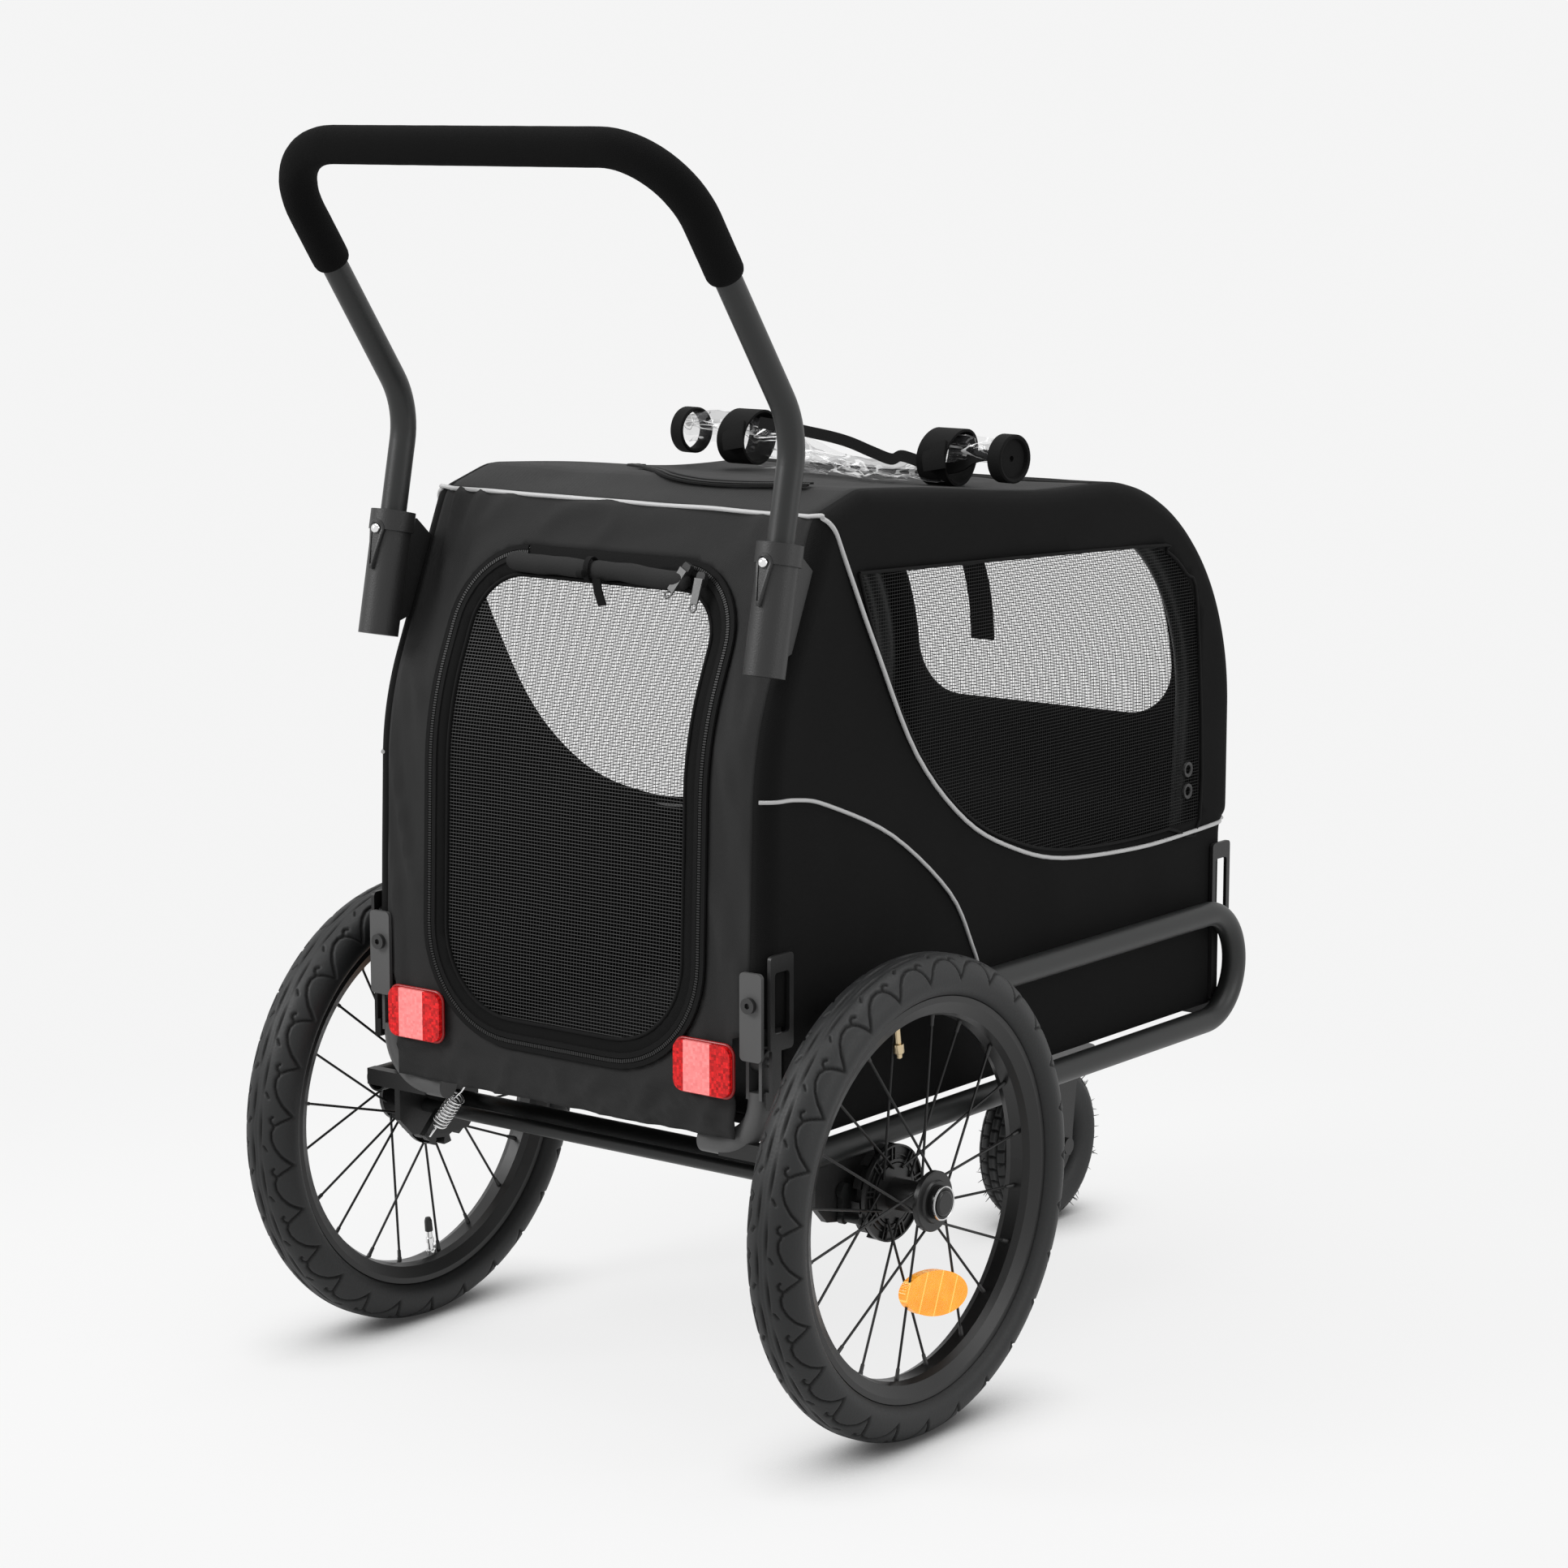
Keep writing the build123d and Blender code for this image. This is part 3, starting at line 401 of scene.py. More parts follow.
def settle(made):
    """Turns an object's modifiers into its plain mesh."""
    bpy.context.view_layer.update()
    done = bpy.data.meshes.new_from_object(made.evaluated_get(bpy.context.evaluated_depsgraph_get()))
    made.modifiers.clear()
    made.data = done


def repeat(name, spots, shape, material, body):
    """A piece set on every spot (point, axis, across, size): its own Z lies on the axis, its X across."""
    piece = build("piece_of_" + name, [shape], material)
    piece.data.transform(Matrix.Translation((0, -SHIFT / 1000, 0)))
    mesh = bpy.data.meshes.new(name)
    mesh.from_pydata(metres(spot[0] for spot in spots), [], [])
    turns = mesh.attributes.new("turn", "FLOAT_VECTOR", "POINT")
    sizes = mesh.attributes.new("size", "FLOAT_VECTOR", "POINT")
    for i, (point, axis, across, size) in enumerate(spots):
        z = Vector(axis).normalized()
        x = Vector(across)
        x = (x - z * x.dot(z)).normalized()
        turns.data[i].vector = Matrix((x, z.cross(x), z)).transposed().to_euler()
        sizes.data[i].vector = (size, size, size)
    made = put(name, mesh)
    modifier = made.modifiers.new("repeat", "NODES")
    modifier.node_group = REPEAT
    for socket in REPEAT.interface.items_tree:
        if socket.name == "Piece":
            modifier[socket.identifier] = piece
        if socket.name == "Finish":
            modifier[socket.identifier] = material
    settle(made)
    bpy.data.objects.remove(piece)
    if body:
        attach(made, body)
    return made


def near_lines(t, q, lines, period):
    """Distance of unrolled tread places (t along, q across) from lines that repeat every period along t."""
    best = np.full(t.shape, 1e9)
    for line in lines:
        for (t0, q0), (t1, q1) in zip(line, line[1:]):
            for shift in (-period, 0, period):
                dt = t1 - t0
                dq = q1 - q0
                share = ((t - t0 - shift) * dt + (q - q0) * dq) / (dt * dt + dq * dq)
                share = np.clip(share, 0, 1)
                best = np.minimum(best, np.hypot(t - t0 - shift - share * dt, q - q0 - share * dq))
    return best


def groove(distance, half_width, depth):
    """Depth of a round-sided groove at a distance from its middle."""
    share = np.clip(1 - distance / half_width, 0, 1)
    return depth * share * share * (3 - 2 * share)


GROOVE_SHADE_FULL = 1.3


def tyre(centre, outer, seat, steps, radius, tread):
    """A tyre about an axle along X, from its section (x, radius) and tread, with marks for painted shade in
    its grooves.
    """
    outer = np.array(outer)
    tangent = np.gradient(outer, axis=0)
    tangent /= np.linalg.norm(tangent, axis=1)[:, None]
    normal = np.stack([-tangent[:, 1], tangent[:, 0]], axis=1)
    reach = np.concatenate([[0], np.cumsum(np.linalg.norm(np.diff(outer, axis=0), axis=1))])
    reach -= reach[-1] / 2
    angles = np.arange(steps) * 2 * math.pi / steps
    along, across = np.meshgrid(angles * radius, reach, indexing="ij")
    depth = tread(along, across)
    x = outer[None, :, 0] - depth * normal[None, :, 0]
    r = outer[None, :, 1] - depth * normal[None, :, 1]
    rings = []
    for i, angle in enumerate(angles):
        section = list(zip(x[i], r[i])) + list(seat)
        rings.append([(centre[0] + a, centre[1] + b * math.cos(angle), centre[2] + b * math.sin(angle))
                      for a, b in section])
    # marks for painted shade: deeper grooves are shaded more
    groove_shade_marks = np.pad(np.clip(depth / GROOVE_SHADE_FULL, 0, 1), ((0, 0), (0, len(seat))))
    return loft(rings, closed=True), groove_shade_marks.ravel()


def arc_through(a, b, c, count):
    """Points on the circle arc from a through b to c."""
    ax, ay, bx, by, cx, cy = *a, *b, *c
    d = 2 * (ax * (by - cy) + bx * (cy - ay) + cx * (ay - by))
    ux = ((ax**2 + ay**2) * (by - cy) + (bx**2 + by**2) * (cy - ay) + (cx**2 + cy**2) * (ay - by)) / d
    uy = ((ax**2 + ay**2) * (cx - bx) + (bx**2 + by**2) * (ax - cx) + (cx**2 + cy**2) * (bx - ax)) / d
    r = math.hypot(ax - ux, ay - uy)
    first = math.atan2(ay - uy, ax - ux)
    last = math.atan2(cy - uy, cx - ux)
    middle = math.atan2(by - uy, bx - ux)
    if not min(first, last) <= middle <= max(first, last):
        last += 2 * math.pi if last < first else -2 * math.pi
    return [(ux + r * math.cos(t), uy + r * math.sin(t)) for t in np.linspace(first, last, count)]


def both_beads(half):
    """A whole section from its half, which runs from the crown to the bead."""
    return [(-x, r) for x, r in reversed(half[1:])] + half


AXLE_Z = 200.0
WHEEL_X = 273.0
TYRE_R = 200.0
SCALLOPS = 27
CELL = 2 * math.pi * TYRE_R / SCALLOPS
SCALLOP = [(0, 34), (2.5, 28), (5, 22.5), (8.5, 17.5), (14, 14.6), (21, 14.8), (29, 18), (37, 23.5), (43, 30),
           (CELL, 34)]
BARB = [(8.5, 17.5), (5.5, 14), (2.5, 13.4), (0.5, 15.6)]
DASH = [(27, 7.6), (31, 10.4)]


def wave_tread(along, across):
    """Scalloped grooves, short dashes, a running groove near the crown and lines on the side wall."""
    depth = np.zeros(along.shape)
    for side, start in ((1, 0), (-1, CELL / 2)):
        t = np.mod(along + start, CELL)
        q = across * side
        depth = np.maximum(depth, groove(near_lines(t, q, [SCALLOP, BARB], CELL), 2.0, 2.1))
        depth = np.maximum(depth, groove(near_lines(t, q, [DASH], CELL), 1.7, 1.8))
        broken = 0.55 + 0.45 * np.sin(2 * math.pi * t / CELL)
        depth = np.maximum(depth, groove(np.abs(q - 4.4), 1.9, 2.0) * broken)
        for place in (37.0, 42.0, 45.5):
            depth -= groove(np.abs(q - place), 1.3, 0.45)
    return depth


def rubber_skin(flow, shader):
    """Fine matt skin, duller down in the grooves of the tread, where painted shade darkens the colour."""
    spot = flow.add("ShaderNodeTexCoord", output="Object")
    speck = flow.add("ShaderNodeTexNoise", None, {"Vector": spot, "Scale": 500.0, "Detail": 3.0})
    groove_shade_mask = flow.add("ShaderNodeAttribute", {"attribute_name": "groove"}, output="Fac")
    # painted shade: the base colour goes darker where the tread is grooved
    flow.mix(groove_shade_mask, (0.0085, 0.0090, 0.0093), 0.0020).into(shader, "Base Color")
    (speck * 0.18 + groove_shade_mask * 0.3 + 0.46).into(shader, "Roughness")
    speck.bump(0.00015, shader)


rubber = surface("rubber", 0.008, 0.52, specular=0.4, pattern=rubber_skin)
rim_black = surface("rim_black", 0.008, 0.34, specular=0.4, pattern=grain(400.0, 0.00005, (0.3, 0.4)))
spoke_black = surface("spoke_black", 0.007, 0.4, specular=0.3, pattern=grain(900.0, 0.00003, (0.34, 0.46)))
hub_black = surface("hub_black", 0.008, 0.36, specular=0.42, pattern=grain(700.0, 0.00006, (0.3, 0.42)))
axle_black = surface("axle_black", 0.014, 0.16, 0.35, pattern=grain(250.0, 0.00003, (0.12, 0.22)))
brass = surface("brass", (0.62, 0.5, 0.32), 0.3, 1.0, pattern=grain(600.0, 0.00004, (0.24, 0.36)))
chrome = surface("chrome", 0.8, 0.14, 1.0, pattern=grain(400.0, 0.00002, (0.1, 0.2)))
cap_black = surface("cap_black", 0.010, 0.5, pattern=grain(700.0, 0.0001, (0.44, 0.56)))


def prism_rows(flow, shader):
    """Fine prism rows in slanting fields with clear seams between, with painted glints and a painted glow, in
    object coordinates.
    """
    spot = flow.add("ShaderNodeTexCoord", output="Object")
    y, z = (flow.add("ShaderNodeSeparateXYZ", None, {"Vector": spot}, n) for n in (1, 2))
    slant = y * 0.93 + z * -0.37
    cell = (slant * 3100.0).maths("SINE") * ((z + slant * 0.5) * 2600.0).maths("SINE")
    seam = (slant * 46.0 + 0.36).maths("FRACT") < 0.07
    # painted highlight: noise glints lighten the amber
    painted_glint = flow.add("ShaderNodeTexNoise", None, {"Vector": spot, "Scale": 60.0, "Detail": 2.0})
    colour = flow.mix(cell * 0.3 + painted_glint * 0.9, (0.95, 0.25, 0.004), (1.0, 0.5, 0.05))
    colour = flow.mix(seam, colour, (1.0, 0.60, 0.12))
    colour.into(shader, "Base Color")
    # painted glow: emission makes the lens shine as if lit
    colour.into(shader, "Emission Color")
    shader.inputs["Emission Strength"].default_value = 0.42
    cell.bump(0.0003, shader)


amber = surface("amber", (1.0, 0.4, 0.03), 0.2, pattern=prism_rows)
half_outer = arc_through((0, 200), (17.5, 195.2), (25, 181), 30)
half_outer += arc_through((25, 181), (22.8, 172.5), (16.5, 167.5), 13)[1:]
TREAD_STEPS = 1080
SPOKES = 20
NIPPLE = turned((0, 0, 0), (0, 0, 1), [(0, 2.0), (3, 2.0), (3.4, 1.7), (9.5, 1.6), (10, 1.2)], 10)
STEM = [(0, 4.4), (2.6, 4.4), (2.7, 2.7), (17, 2.6)]
NUT = [(17.2, 4.6), (24.5, 4.6), (25.2, 4.0), (25.3, 2.6), (29, 2.4), (30, 1.0)]
LEFT_STEM = [(0, 4.4), (3.4, 4.4), (3.5, 2.8), (10, 2.8), (10.2, 3.6), (15, 3.6), (15.2, 2.6), (21, 2.6)]
CAP = [(21, 3.0), (21.3, 3.6), (31, 3.4), (34, 2.4), (34.6, 0.6)]
HEAD_FACE_X = WHEEL_X + 31.3
DRUM_X = 251.0
DRUM_ARMS = 9


def drum_face(side):
    """Shapes of the moulded face of a brake drum: a thin web, two rings and pairs of arms between them."""
    def ring(inner, outer, low, high):
        section = [(low, outer), (high, outer), (high, inner), (low, inner)]
        return turned((side * DRUM_X, 0, AXLE_Z), (side, 0, 0), section, 54, True)

    def wall(angle, off):
        way = Vector((0, math.cos(angle), math.sin(angle)))
        across = Vector((0, -way.z, way.y))
        start = Vector((side * (DRUM_X + 1.9), 0, AXLE_Z)) + across * off
        return sweep([start + way * r for r in (28, 33, 39.2)], strip(0.7, 1.5), (1, 0, 0))

    rings = ((26, 40.2, 0, 1), (38.8, 40.4, 0, 3.6), (26, 28.4, -2, 3.6), (31.6, 32.6, 0.5, 2.4))
    shapes = [ring(*sizes) for sizes in rings]
    for n in range(DRUM_ARMS):
        angle = 2 * math.pi * (n + 0.25) / DRUM_ARMS
        shapes += [wall(angle, 2.2), wall(angle, -2.2)]
    return shapes


def on_wheel(x, radius, angle):
    """A point on a rear wheel, at a radius and an angle about its axle."""
    return Vector((x, radius * math.cos(angle), AXLE_Z + radius * math.sin(angle)))


RIM_INNER_R = 150.2
HOLE_R = 22.0
VALVE_FOOT_R = 150.5
for side_name, side, valve_angle in (("right", 1, 99), ("left", -1, -84)):
    body = "wheel_" + side_name
    centre = (side * WHEEL_X, 0, AXLE_Z)
    seat = [(13.2, 167.5), (11.5, 160.6), (-11.5, 160.6), (-13.2, 167.5)]
    shape, groove_shade_marks = tyre(centre, both_beads(half_outer), seat, TREAD_STEPS, TYRE_R, wave_tread)
    made = build("tread_tyre_" + side_name, [shape], rubber, body, 60.0, groove_shade_marks)
    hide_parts("tyre_" + side_name)
    spots = []
    for n in range(SPOKES):
        flange = 1 if n % 2 == 0 else -1
        lean = math.radians(38 if (n // 2) % 2 == 0 else -38)
        angle = math.radians(360 / SPOKES * n + 9)
        hole = on_wheel(side * (WHEEL_X + flange * 17), HOLE_R, angle + lean)
        end = on_wheel(side * (WHEEL_X + flange * 2), RIM_INNER_R, angle)
        spots.append((end, hole - end, (1, 0, 0), 1.0))
    repeat("nipples_" + side_name, spots, NIPPLE, cap_black, body)
    angle = math.radians(valve_angle)
    inward = (0, -math.cos(angle), -math.sin(angle))
    foot = on_wheel(side * WHEEL_X, VALVE_FOOT_R, angle)
    if side > 0:
        valve = [turned(foot, inward, STEM, 14), turned(foot, inward, NUT, 12)]
        build("valve_right", valve, brass, body)
    else:
        build("valve_left", [turned(foot, inward, LEFT_STEM, 14)], chrome, body)
        build("valve_cap_left", [turned(foot, inward, CAP, 14)], cap_black, body)
    ring = turned((side * HEAD_FACE_X, 0, AXLE_Z), (side, 0, 0),
                  [(-0.6, 14.4), (0.5, 14.1), (0.7, 13.5), (0.3, 13.0), (-0.6, 13.0)], 40, True)
    build("hub_ring_" + side_name, [ring], bright_steel, "chassis")
    build("drum_face_" + side_name, drum_face(side), hub_black, body, 30.0)
    paint(rim_black, "rim_" + side_name)
    paint(spoke_black, "spokes_" + side_name)
    paint(hub_black, "hub_" + side_name, "brake_disc_" + side_name)
    paint(amber, "spoke_reflector_" + side_name)
    paint(axle_black, "axle_button_" + side_name, "wheel_axle_" + side_name)


# Foot brake: a cross rod with a pawl at each end, pulled back by one chrome wire spring.
# The spring is an open coil whose straight ends reach from the lever up to the frame.
WIRE_R = 1.1
COIL_R = 6.5
PITCH = 3.7
TURNS = 9
spring_low = Vector((-200.4, -62, 187))
spring_top = Vector((-160, -57, 240))
spring_axis = (spring_top - spring_low).normalized()
spring_across = spring_axis.cross(Vector((0, 0, 1))).normalized()
spring_other = spring_axis.cross(spring_across)
coil_foot = (spring_low + spring_top) * 0.5 - spring_axis * (PITCH * TURNS / 2)
wire = [spring_low, spring_low + spring_axis * 3, coil_foot - spring_axis * 6]
for n in range(TURNS * 20 + 1):
    angle = 2 * math.pi * n / 20
    out_dir = spring_across * math.cos(angle) + spring_other * math.sin(angle)
    wire.append(coil_foot + spring_axis * (PITCH * n / 20) + out_dir * COIL_R)
wire += [coil_foot + spring_axis * (PITCH * TURNS + 6), spring_top - spring_axis * 3, spring_top]
spring = build("brake_spring_wire", [sweep(wire, circle(WIRE_R, 8))], chrome, "chassis", 60.0)
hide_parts("brake_spring")


# Front caster: a small tyre with moulded blocks on a black plastic rim, in a pressed steel fork.
# Thin sprue hairs still stand on the tread.
FRONT_Y = 590.0
FRONT_R = 78.0
BLOCK_CELL = 2 * math.pi * FRONT_R / 38
FRONT_GROOVES = [[(0, -5), (0, 5)], [(BLOCK_CELL / 2, 5), (BLOCK_CELL / 2 - 1, 15)],
                 [(BLOCK_CELL / 2, -5), (BLOCK_CELL / 2 + 1, -15)], [(0, 15), (0, 23)], [(0, -15), (0, -23)]]


def block_tread(along, across):
    """Rows of blocks with running grooves between them and staggered cross grooves."""
    depth = groove(near_lines(np.mod(along, BLOCK_CELL), across, FRONT_GROOVES, BLOCK_CELL), 1.7, 2.0)
    for place in (5, 15, -5, -15):
        depth = np.maximum(depth, groove(np.abs(across - place), 1.7, 2.0))
    return depth


front_arc = arc_through((0, 78), (16, 75.2), (22, 66), 26)
front_half = front_arc + [(21.2, 60), (19.6, 54), (18, 50)]
front_seat = [(12, 44.2), (-12, 44.2)]
shape, groove_shade_marks = tyre((0, FRONT_Y, FRONT_R), both_beads(front_half), front_seat, 456, FRONT_R, block_tread)
front_tyre = build("block_tyre", [shape], rubber, "front_wheel", 60.0, groove_shade_marks)
paint(axle_black, "caster_axle")
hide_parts("front_tyre")
HAIR_COUNT = 130
HAIR_LOWEST = 8
chance = np.random.default_rng(7)
spots = []
for n in range(HAIR_COUNT):
    angle = chance.uniform(0, 2 * math.pi)
    place = chance.choice([-20, -17, -9, 9, 17, 20])
    radius = np.interp(abs(place), *zip(*front_arc))
    out_dir = Vector((place / 60, math.cos(angle), math.sin(angle)))
    point = Vector((place, FRONT_Y + radius * math.cos(angle), FRONT_R + radius * math.sin(angle)))
    lean = Vector(chance.uniform(-0.5, 0.5, 3).tolist())
    if point.z > HAIR_LOWEST:
        spots.append((point, out_dir + lean, (1, 0, 0), chance.uniform(0.6, 1.0)))
HAIR = turned((0, 0, -0.5), (0, 0, 1), [(0, 0.55), (3, 0.45), (7, 0.2)], 5)
repeat("sprue_hairs", spots, HAIR, rubber, "front_wheel")
paint(hub_black, "front_rim")


# Floor pad: a slim foam mat in a sewn black cover, lying on the board inside the cabin.
# Its cover is puffed by a short cloth simulation and sits within the space of its solid.
PAD_LOW = Vector((-184, -92, 269.4))
PAD_HIGH = Vector((184, 538, 283.0))
PUFF_PRESSURE = 4.0
PUFF_FRAMES = 20
PUFF_REACH = 0.002


def weave(pitch, depth, colour, spread):
    """Plain weave on the flat cut of a sheet, with slow uneven shade."""
    def pattern(flow, shader):
        cut = flow.add("ShaderNodeUVMap", {"uv_map": "cut"})
        parts = [flow.add("ShaderNodeSeparateXYZ", None, {"Vector": cut}, n) for n in (0, 1)]
        wave = [(p * (2 * math.pi / pitch)).maths("SINE") for p in parts]
        slow = flow.add("ShaderNodeTexNoise", None, {"Vector": cut, "Scale": 9.0, "Detail": 2.0})
        flow.mix(slow, colour * (1 - spread), colour * (1 + spread)).into(shader, "Base Color")
        (wave[0] * wave[1]).bump(depth, shader)
    return pattern


grey_cloth = surface("grey_cloth", 0.015, 0.72, specular=0.25, pattern=weave(0.0012, 0.00012, 0.015, 0.25))
black_cloth = surface("black_cloth", 0.005, 0.85, specular=0.1, pattern=weave(0.0012, 0.0001, 0.005, 0.2))
webbing = surface("webbing", 0.006, 0.8, specular=0.12, pattern=grain(900.0, 0.0003))
pad_corners = [(PAD_LOW.x, PAD_LOW.y), (PAD_HIGH.x, PAD_LOW.y)]
pad_corners += [(PAD_HIGH.x, PAD_HIGH.y), (PAD_LOW.x, PAD_HIGH.y)]
pad_points = [(x, y, z) for z in (PAD_LOW.z, PAD_HIGH.z) for x, y in pad_corners]
pad_faces = [(0, 3, 2, 1), (4, 5, 6, 7), (0, 1, 5, 4), (1, 2, 6, 5), (2, 3, 7, 6), (3, 0, 4, 7)]
foam_cover = surface("foam_cover", 0.010, 0.85, specular=0.1, pattern=grain(700.0, 0.0003))
pad = build("floor_mat", [(pad_points, pad_faces)], foam_cover)
remesh = pad.modifiers.new("even", "REMESH")
remesh.mode = "VOXEL"
remesh.voxel_size = 0.0068
settle(pad)
rest_shape = np.array([v.co for v in pad.data.vertices])
cloth = pad.modifiers.new("cloth", "CLOTH")
cloth.settings.quality = 5
cloth.settings.use_pressure = True
cloth.settings.uniform_pressure_force = PUFF_PRESSURE
cloth.settings.effector_weights.gravity = 0.0
cloth.point_cache.frame_start = 1
cloth.point_cache.frame_end = PUFF_FRAMES
for step in range(1, PUFF_FRAMES + 1):
    scene.frame_set(step)
settle(pad)
scene.frame_set(1)
puffed = np.array([v.co for v in pad.data.vertices])
move = np.clip(puffed - rest_shape, -PUFF_REACH, PUFF_REACH)
level = (rest_shape[:, 2] - rest_shape[:, 2].min()) / np.ptp(rest_shape[:, 2])
move[:, 2] *= level
puffed = rest_shape + move
pad.data.vertices.foreach_set("co", puffed.astype(np.float32).ravel())
pad.data.update()
smoother = pad.modifiers.new("smooth", "SUBSURF")
smoother.levels = 1
settle(pad)
pad.data.shade_smooth()
if not pad.data.materials:
    pad.data.materials.append(foam_cover)
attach(pad, "chassis")
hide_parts("floor_pad")


# Cabin cover: sewn panels of black coated polyester stretched over the two hoops.
# The side panels turn the corners with a soft edge and hold the side windows of open net.
COVER_X = 211.4
CORNER = 16.0
REAR_HEM_Z = 258.0
SIDE_HEM_Z = 252.0
ROOF_SAG = 7.0
NOTCH_Y = -92.0
NOTCH_Z = 350.0
LEAN_R = 250
NOSE_R = 222
NOSE_Y = 368
NOSE_Z = 528
REAR_SEAM = (-32, 752)


def dense(points, spacing):
    """The same line with points no further apart than the spacing."""
    made = []
    for a, b in zip(points, points[1:]):
        count = max(1, math.ceil(math.dist(a, b) / spacing))
        made += [tuple(a[k] + (b[k] - a[k]) * n / count for k in range(len(a))) for n in range(count)]
    return made + [tuple(points[-1])]


def cover_line():
    """Side view (y, z) of the cover from its low rear edge over the roof to its low front edge."""
    tilt = math.atan2(9.0, 266.6)
    y = -110 + LEAN_R * math.cos(tilt)
    z = 528.6 - LEAN_R * math.sin(tilt)
    turns = np.linspace(tilt, math.radians(24), 16)
    lean = [(y - LEAN_R * math.cos(a), z + LEAN_R * math.sin(a)) for a in turns]
    turns = np.linspace(0, math.pi / 2, 60)
    nose = [(NOSE_Y + NOSE_R * math.sin(a), NOSE_Z + NOSE_R * math.cos(a)) for a in turns]
    whole = [(-119, REAR_HEM_Z)] + lean + [REAR_SEAM, (25, 769)] + nose + [(590, 425), (578, 419), (578, 262)]
    whole = np.array(dense(whole, 5.0))
    for n in range(3):
        whole[1:-1] = (whole[:-2] + 2 * whole[1:-1] + whole[2:]) / 4
    on_roof = whole[:, 1] > 700
    whole[:, 1] -= on_roof * ROOF_SAG * np.exp(-((whole[:, 0] - 270) / 110) ** 2)
    return whole


COVER = cover_line()
COVER_S = np.concatenate([[0], np.cumsum(np.linalg.norm(np.diff(COVER, axis=0), axis=1))])
slope = np.gradient(COVER, axis=0)
slope /= np.linalg.norm(slope, axis=1)[:, None]
COVER_OUT = np.stack([-slope[:, 1], slope[:, 0]], axis=1)
REAR_COUNT = int(np.argmin(np.hypot(*(COVER - REAR_SEAM).T)))
ROOF_COUNT = int(np.argmin(np.hypot(*(COVER - (NOSE_Y, NOSE_Z + NOSE_R)).T)))
S_PIPING = COVER_S[REAR_COUNT]
S_ROOF = COVER_S[ROOF_COUNT]
S_END = COVER_S[-1]


def rear_s(z):
    """Length along the cover line, on its rear face, at a height."""
    return np.interp(z, COVER[:REAR_COUNT + 1, 1], COVER_S[:REAR_COUNT + 1])


def roof_s(y):
    """Length along the cover line, on its roof, at a place along the stroller."""
    return np.interp(y, COVER[REAR_COUNT:ROOF_COUNT + 30, 0], COVER_S[REAR_COUNT:ROOF_COUNT + 30])


def nose_s(z):
    """Length along the cover line, on its nose, at a height."""
    return np.interp(-np.asarray(z), -COVER[ROOF_COUNT:, 1], COVER_S[ROOF_COUNT:])


def on_cover(flat, out):
    """Points on the cover at flat places (x, s), out from its face."""
    x, s = np.moveaxis(np.asarray(flat, float), -1, 0)
    y = np.interp(s, COVER_S, COVER[:, 0]) + out * np.interp(s, COVER_S, COVER_OUT[:, 0])
    z = np.interp(s, COVER_S, COVER[:, 1]) + out * np.interp(s, COVER_S, COVER_OUT[:, 1])
    return np.stack([x, y, z], axis=-1)


def shut(loop):
    """An outline that comes back to its first point."""
    return list(loop) + [loop[0]]


def smooth_flat(points, steps):
    """A curve through flat points."""
    return [(p.x, p.y) for p in smooth_path([(a, b, 0) for a, b in points], steps)]


def inside(points, loop):
    """Which points lie within a closed outline."""
    found = np.zeros(len(points), bool)
    loop = np.array(loop)
    for (ax, ay), (bx, by) in zip(loop, np.roll(loop, -1, axis=0)):
        crosses = (ay > points[:, 1]) != (by > points[:, 1])
        with np.errstate(divide="ignore", invalid="ignore"):
            at = (bx - ax) * (points[:, 1] - ay) / (by - ay) + ax
        found ^= crosses & (points[:, 0] < at)
    return found


def edge_distance(points, line):
    """Distance of points from an open line."""
    best = np.full(len(points), 1e9)
    line = np.array(line)
    for a, b in zip(line, line[1:]):
        d = b - a
        share = np.clip(((points - a) @ d) / max(d @ d, 1e-9), 0, 1)
        best = np.minimum(best, np.linalg.norm(points - a - share[:, None] * d, axis=1))
    return best


def region(outline, holes, spacing, rows=(), row_line=None):
    """Triangles over a flat outline with holes cut out; rows adds points at distances inside row_line."""
    loops = [dense(shut(loop), spacing)[:-1] for loop in [outline] + list(holes)]
    flat = []
    edges = []
    for loop in loops:
        start = len(flat)
        flat += loop
        edges += [(start + n, start + (n + 1) % len(loop)) for n in range(len(loop))]
    around = np.array(loops[0])
    inner = []
    if row_line is not None:
        line = np.array(dense(list(row_line), spacing * 0.8))
        way = np.gradient(line, axis=0)
        way /= np.linalg.norm(way, axis=1)[:, None]
        for row in rows:
            inner.append(line + np.stack([way[:, 1], -way[:, 0]], axis=1) * row)
    us = np.arange(around[:, 0].min() + spacing / 2, around[:, 0].max(), spacing)
    vs = np.arange(around[:, 1].min() + spacing / 2, around[:, 1].max(), spacing)
    grid = np.stack(np.meshgrid(us, vs), axis=-1).reshape(-1, 2)
    if row_line is not None:
        grid = grid[edge_distance(grid, row_line) > max(rows) + spacing * 0.4]
    inner.append(grid)
    inner = np.concatenate(inner)
    keep = inside(inner, loops[0])
    for loop in loops[1:]:
        keep &= ~inside(inner, loop)
    for loop in loops:
        gap = 0.3 if row_line is not None and loop is loops[0] else 0.45 * spacing
        keep &= edge_distance(inner, shut(loop)) > gap
    flat += [tuple(p) for p in inner[keep]]
    made = delaunay_2d_cdt([Vector(p) for p in flat], edges, [], 1, 1e-5)
    points = np.array([tuple(p) for p in made[0]])
    faces = np.array([f for f in made[2] if len(f) == 3])
    middle = points[faces].mean(axis=1)
    good = inside(middle, loops[0])
    for loop in loops[1:]:
        good &= ~inside(middle, loop)
    return points, [tuple(int(i) for i in f) for f in faces[good]]


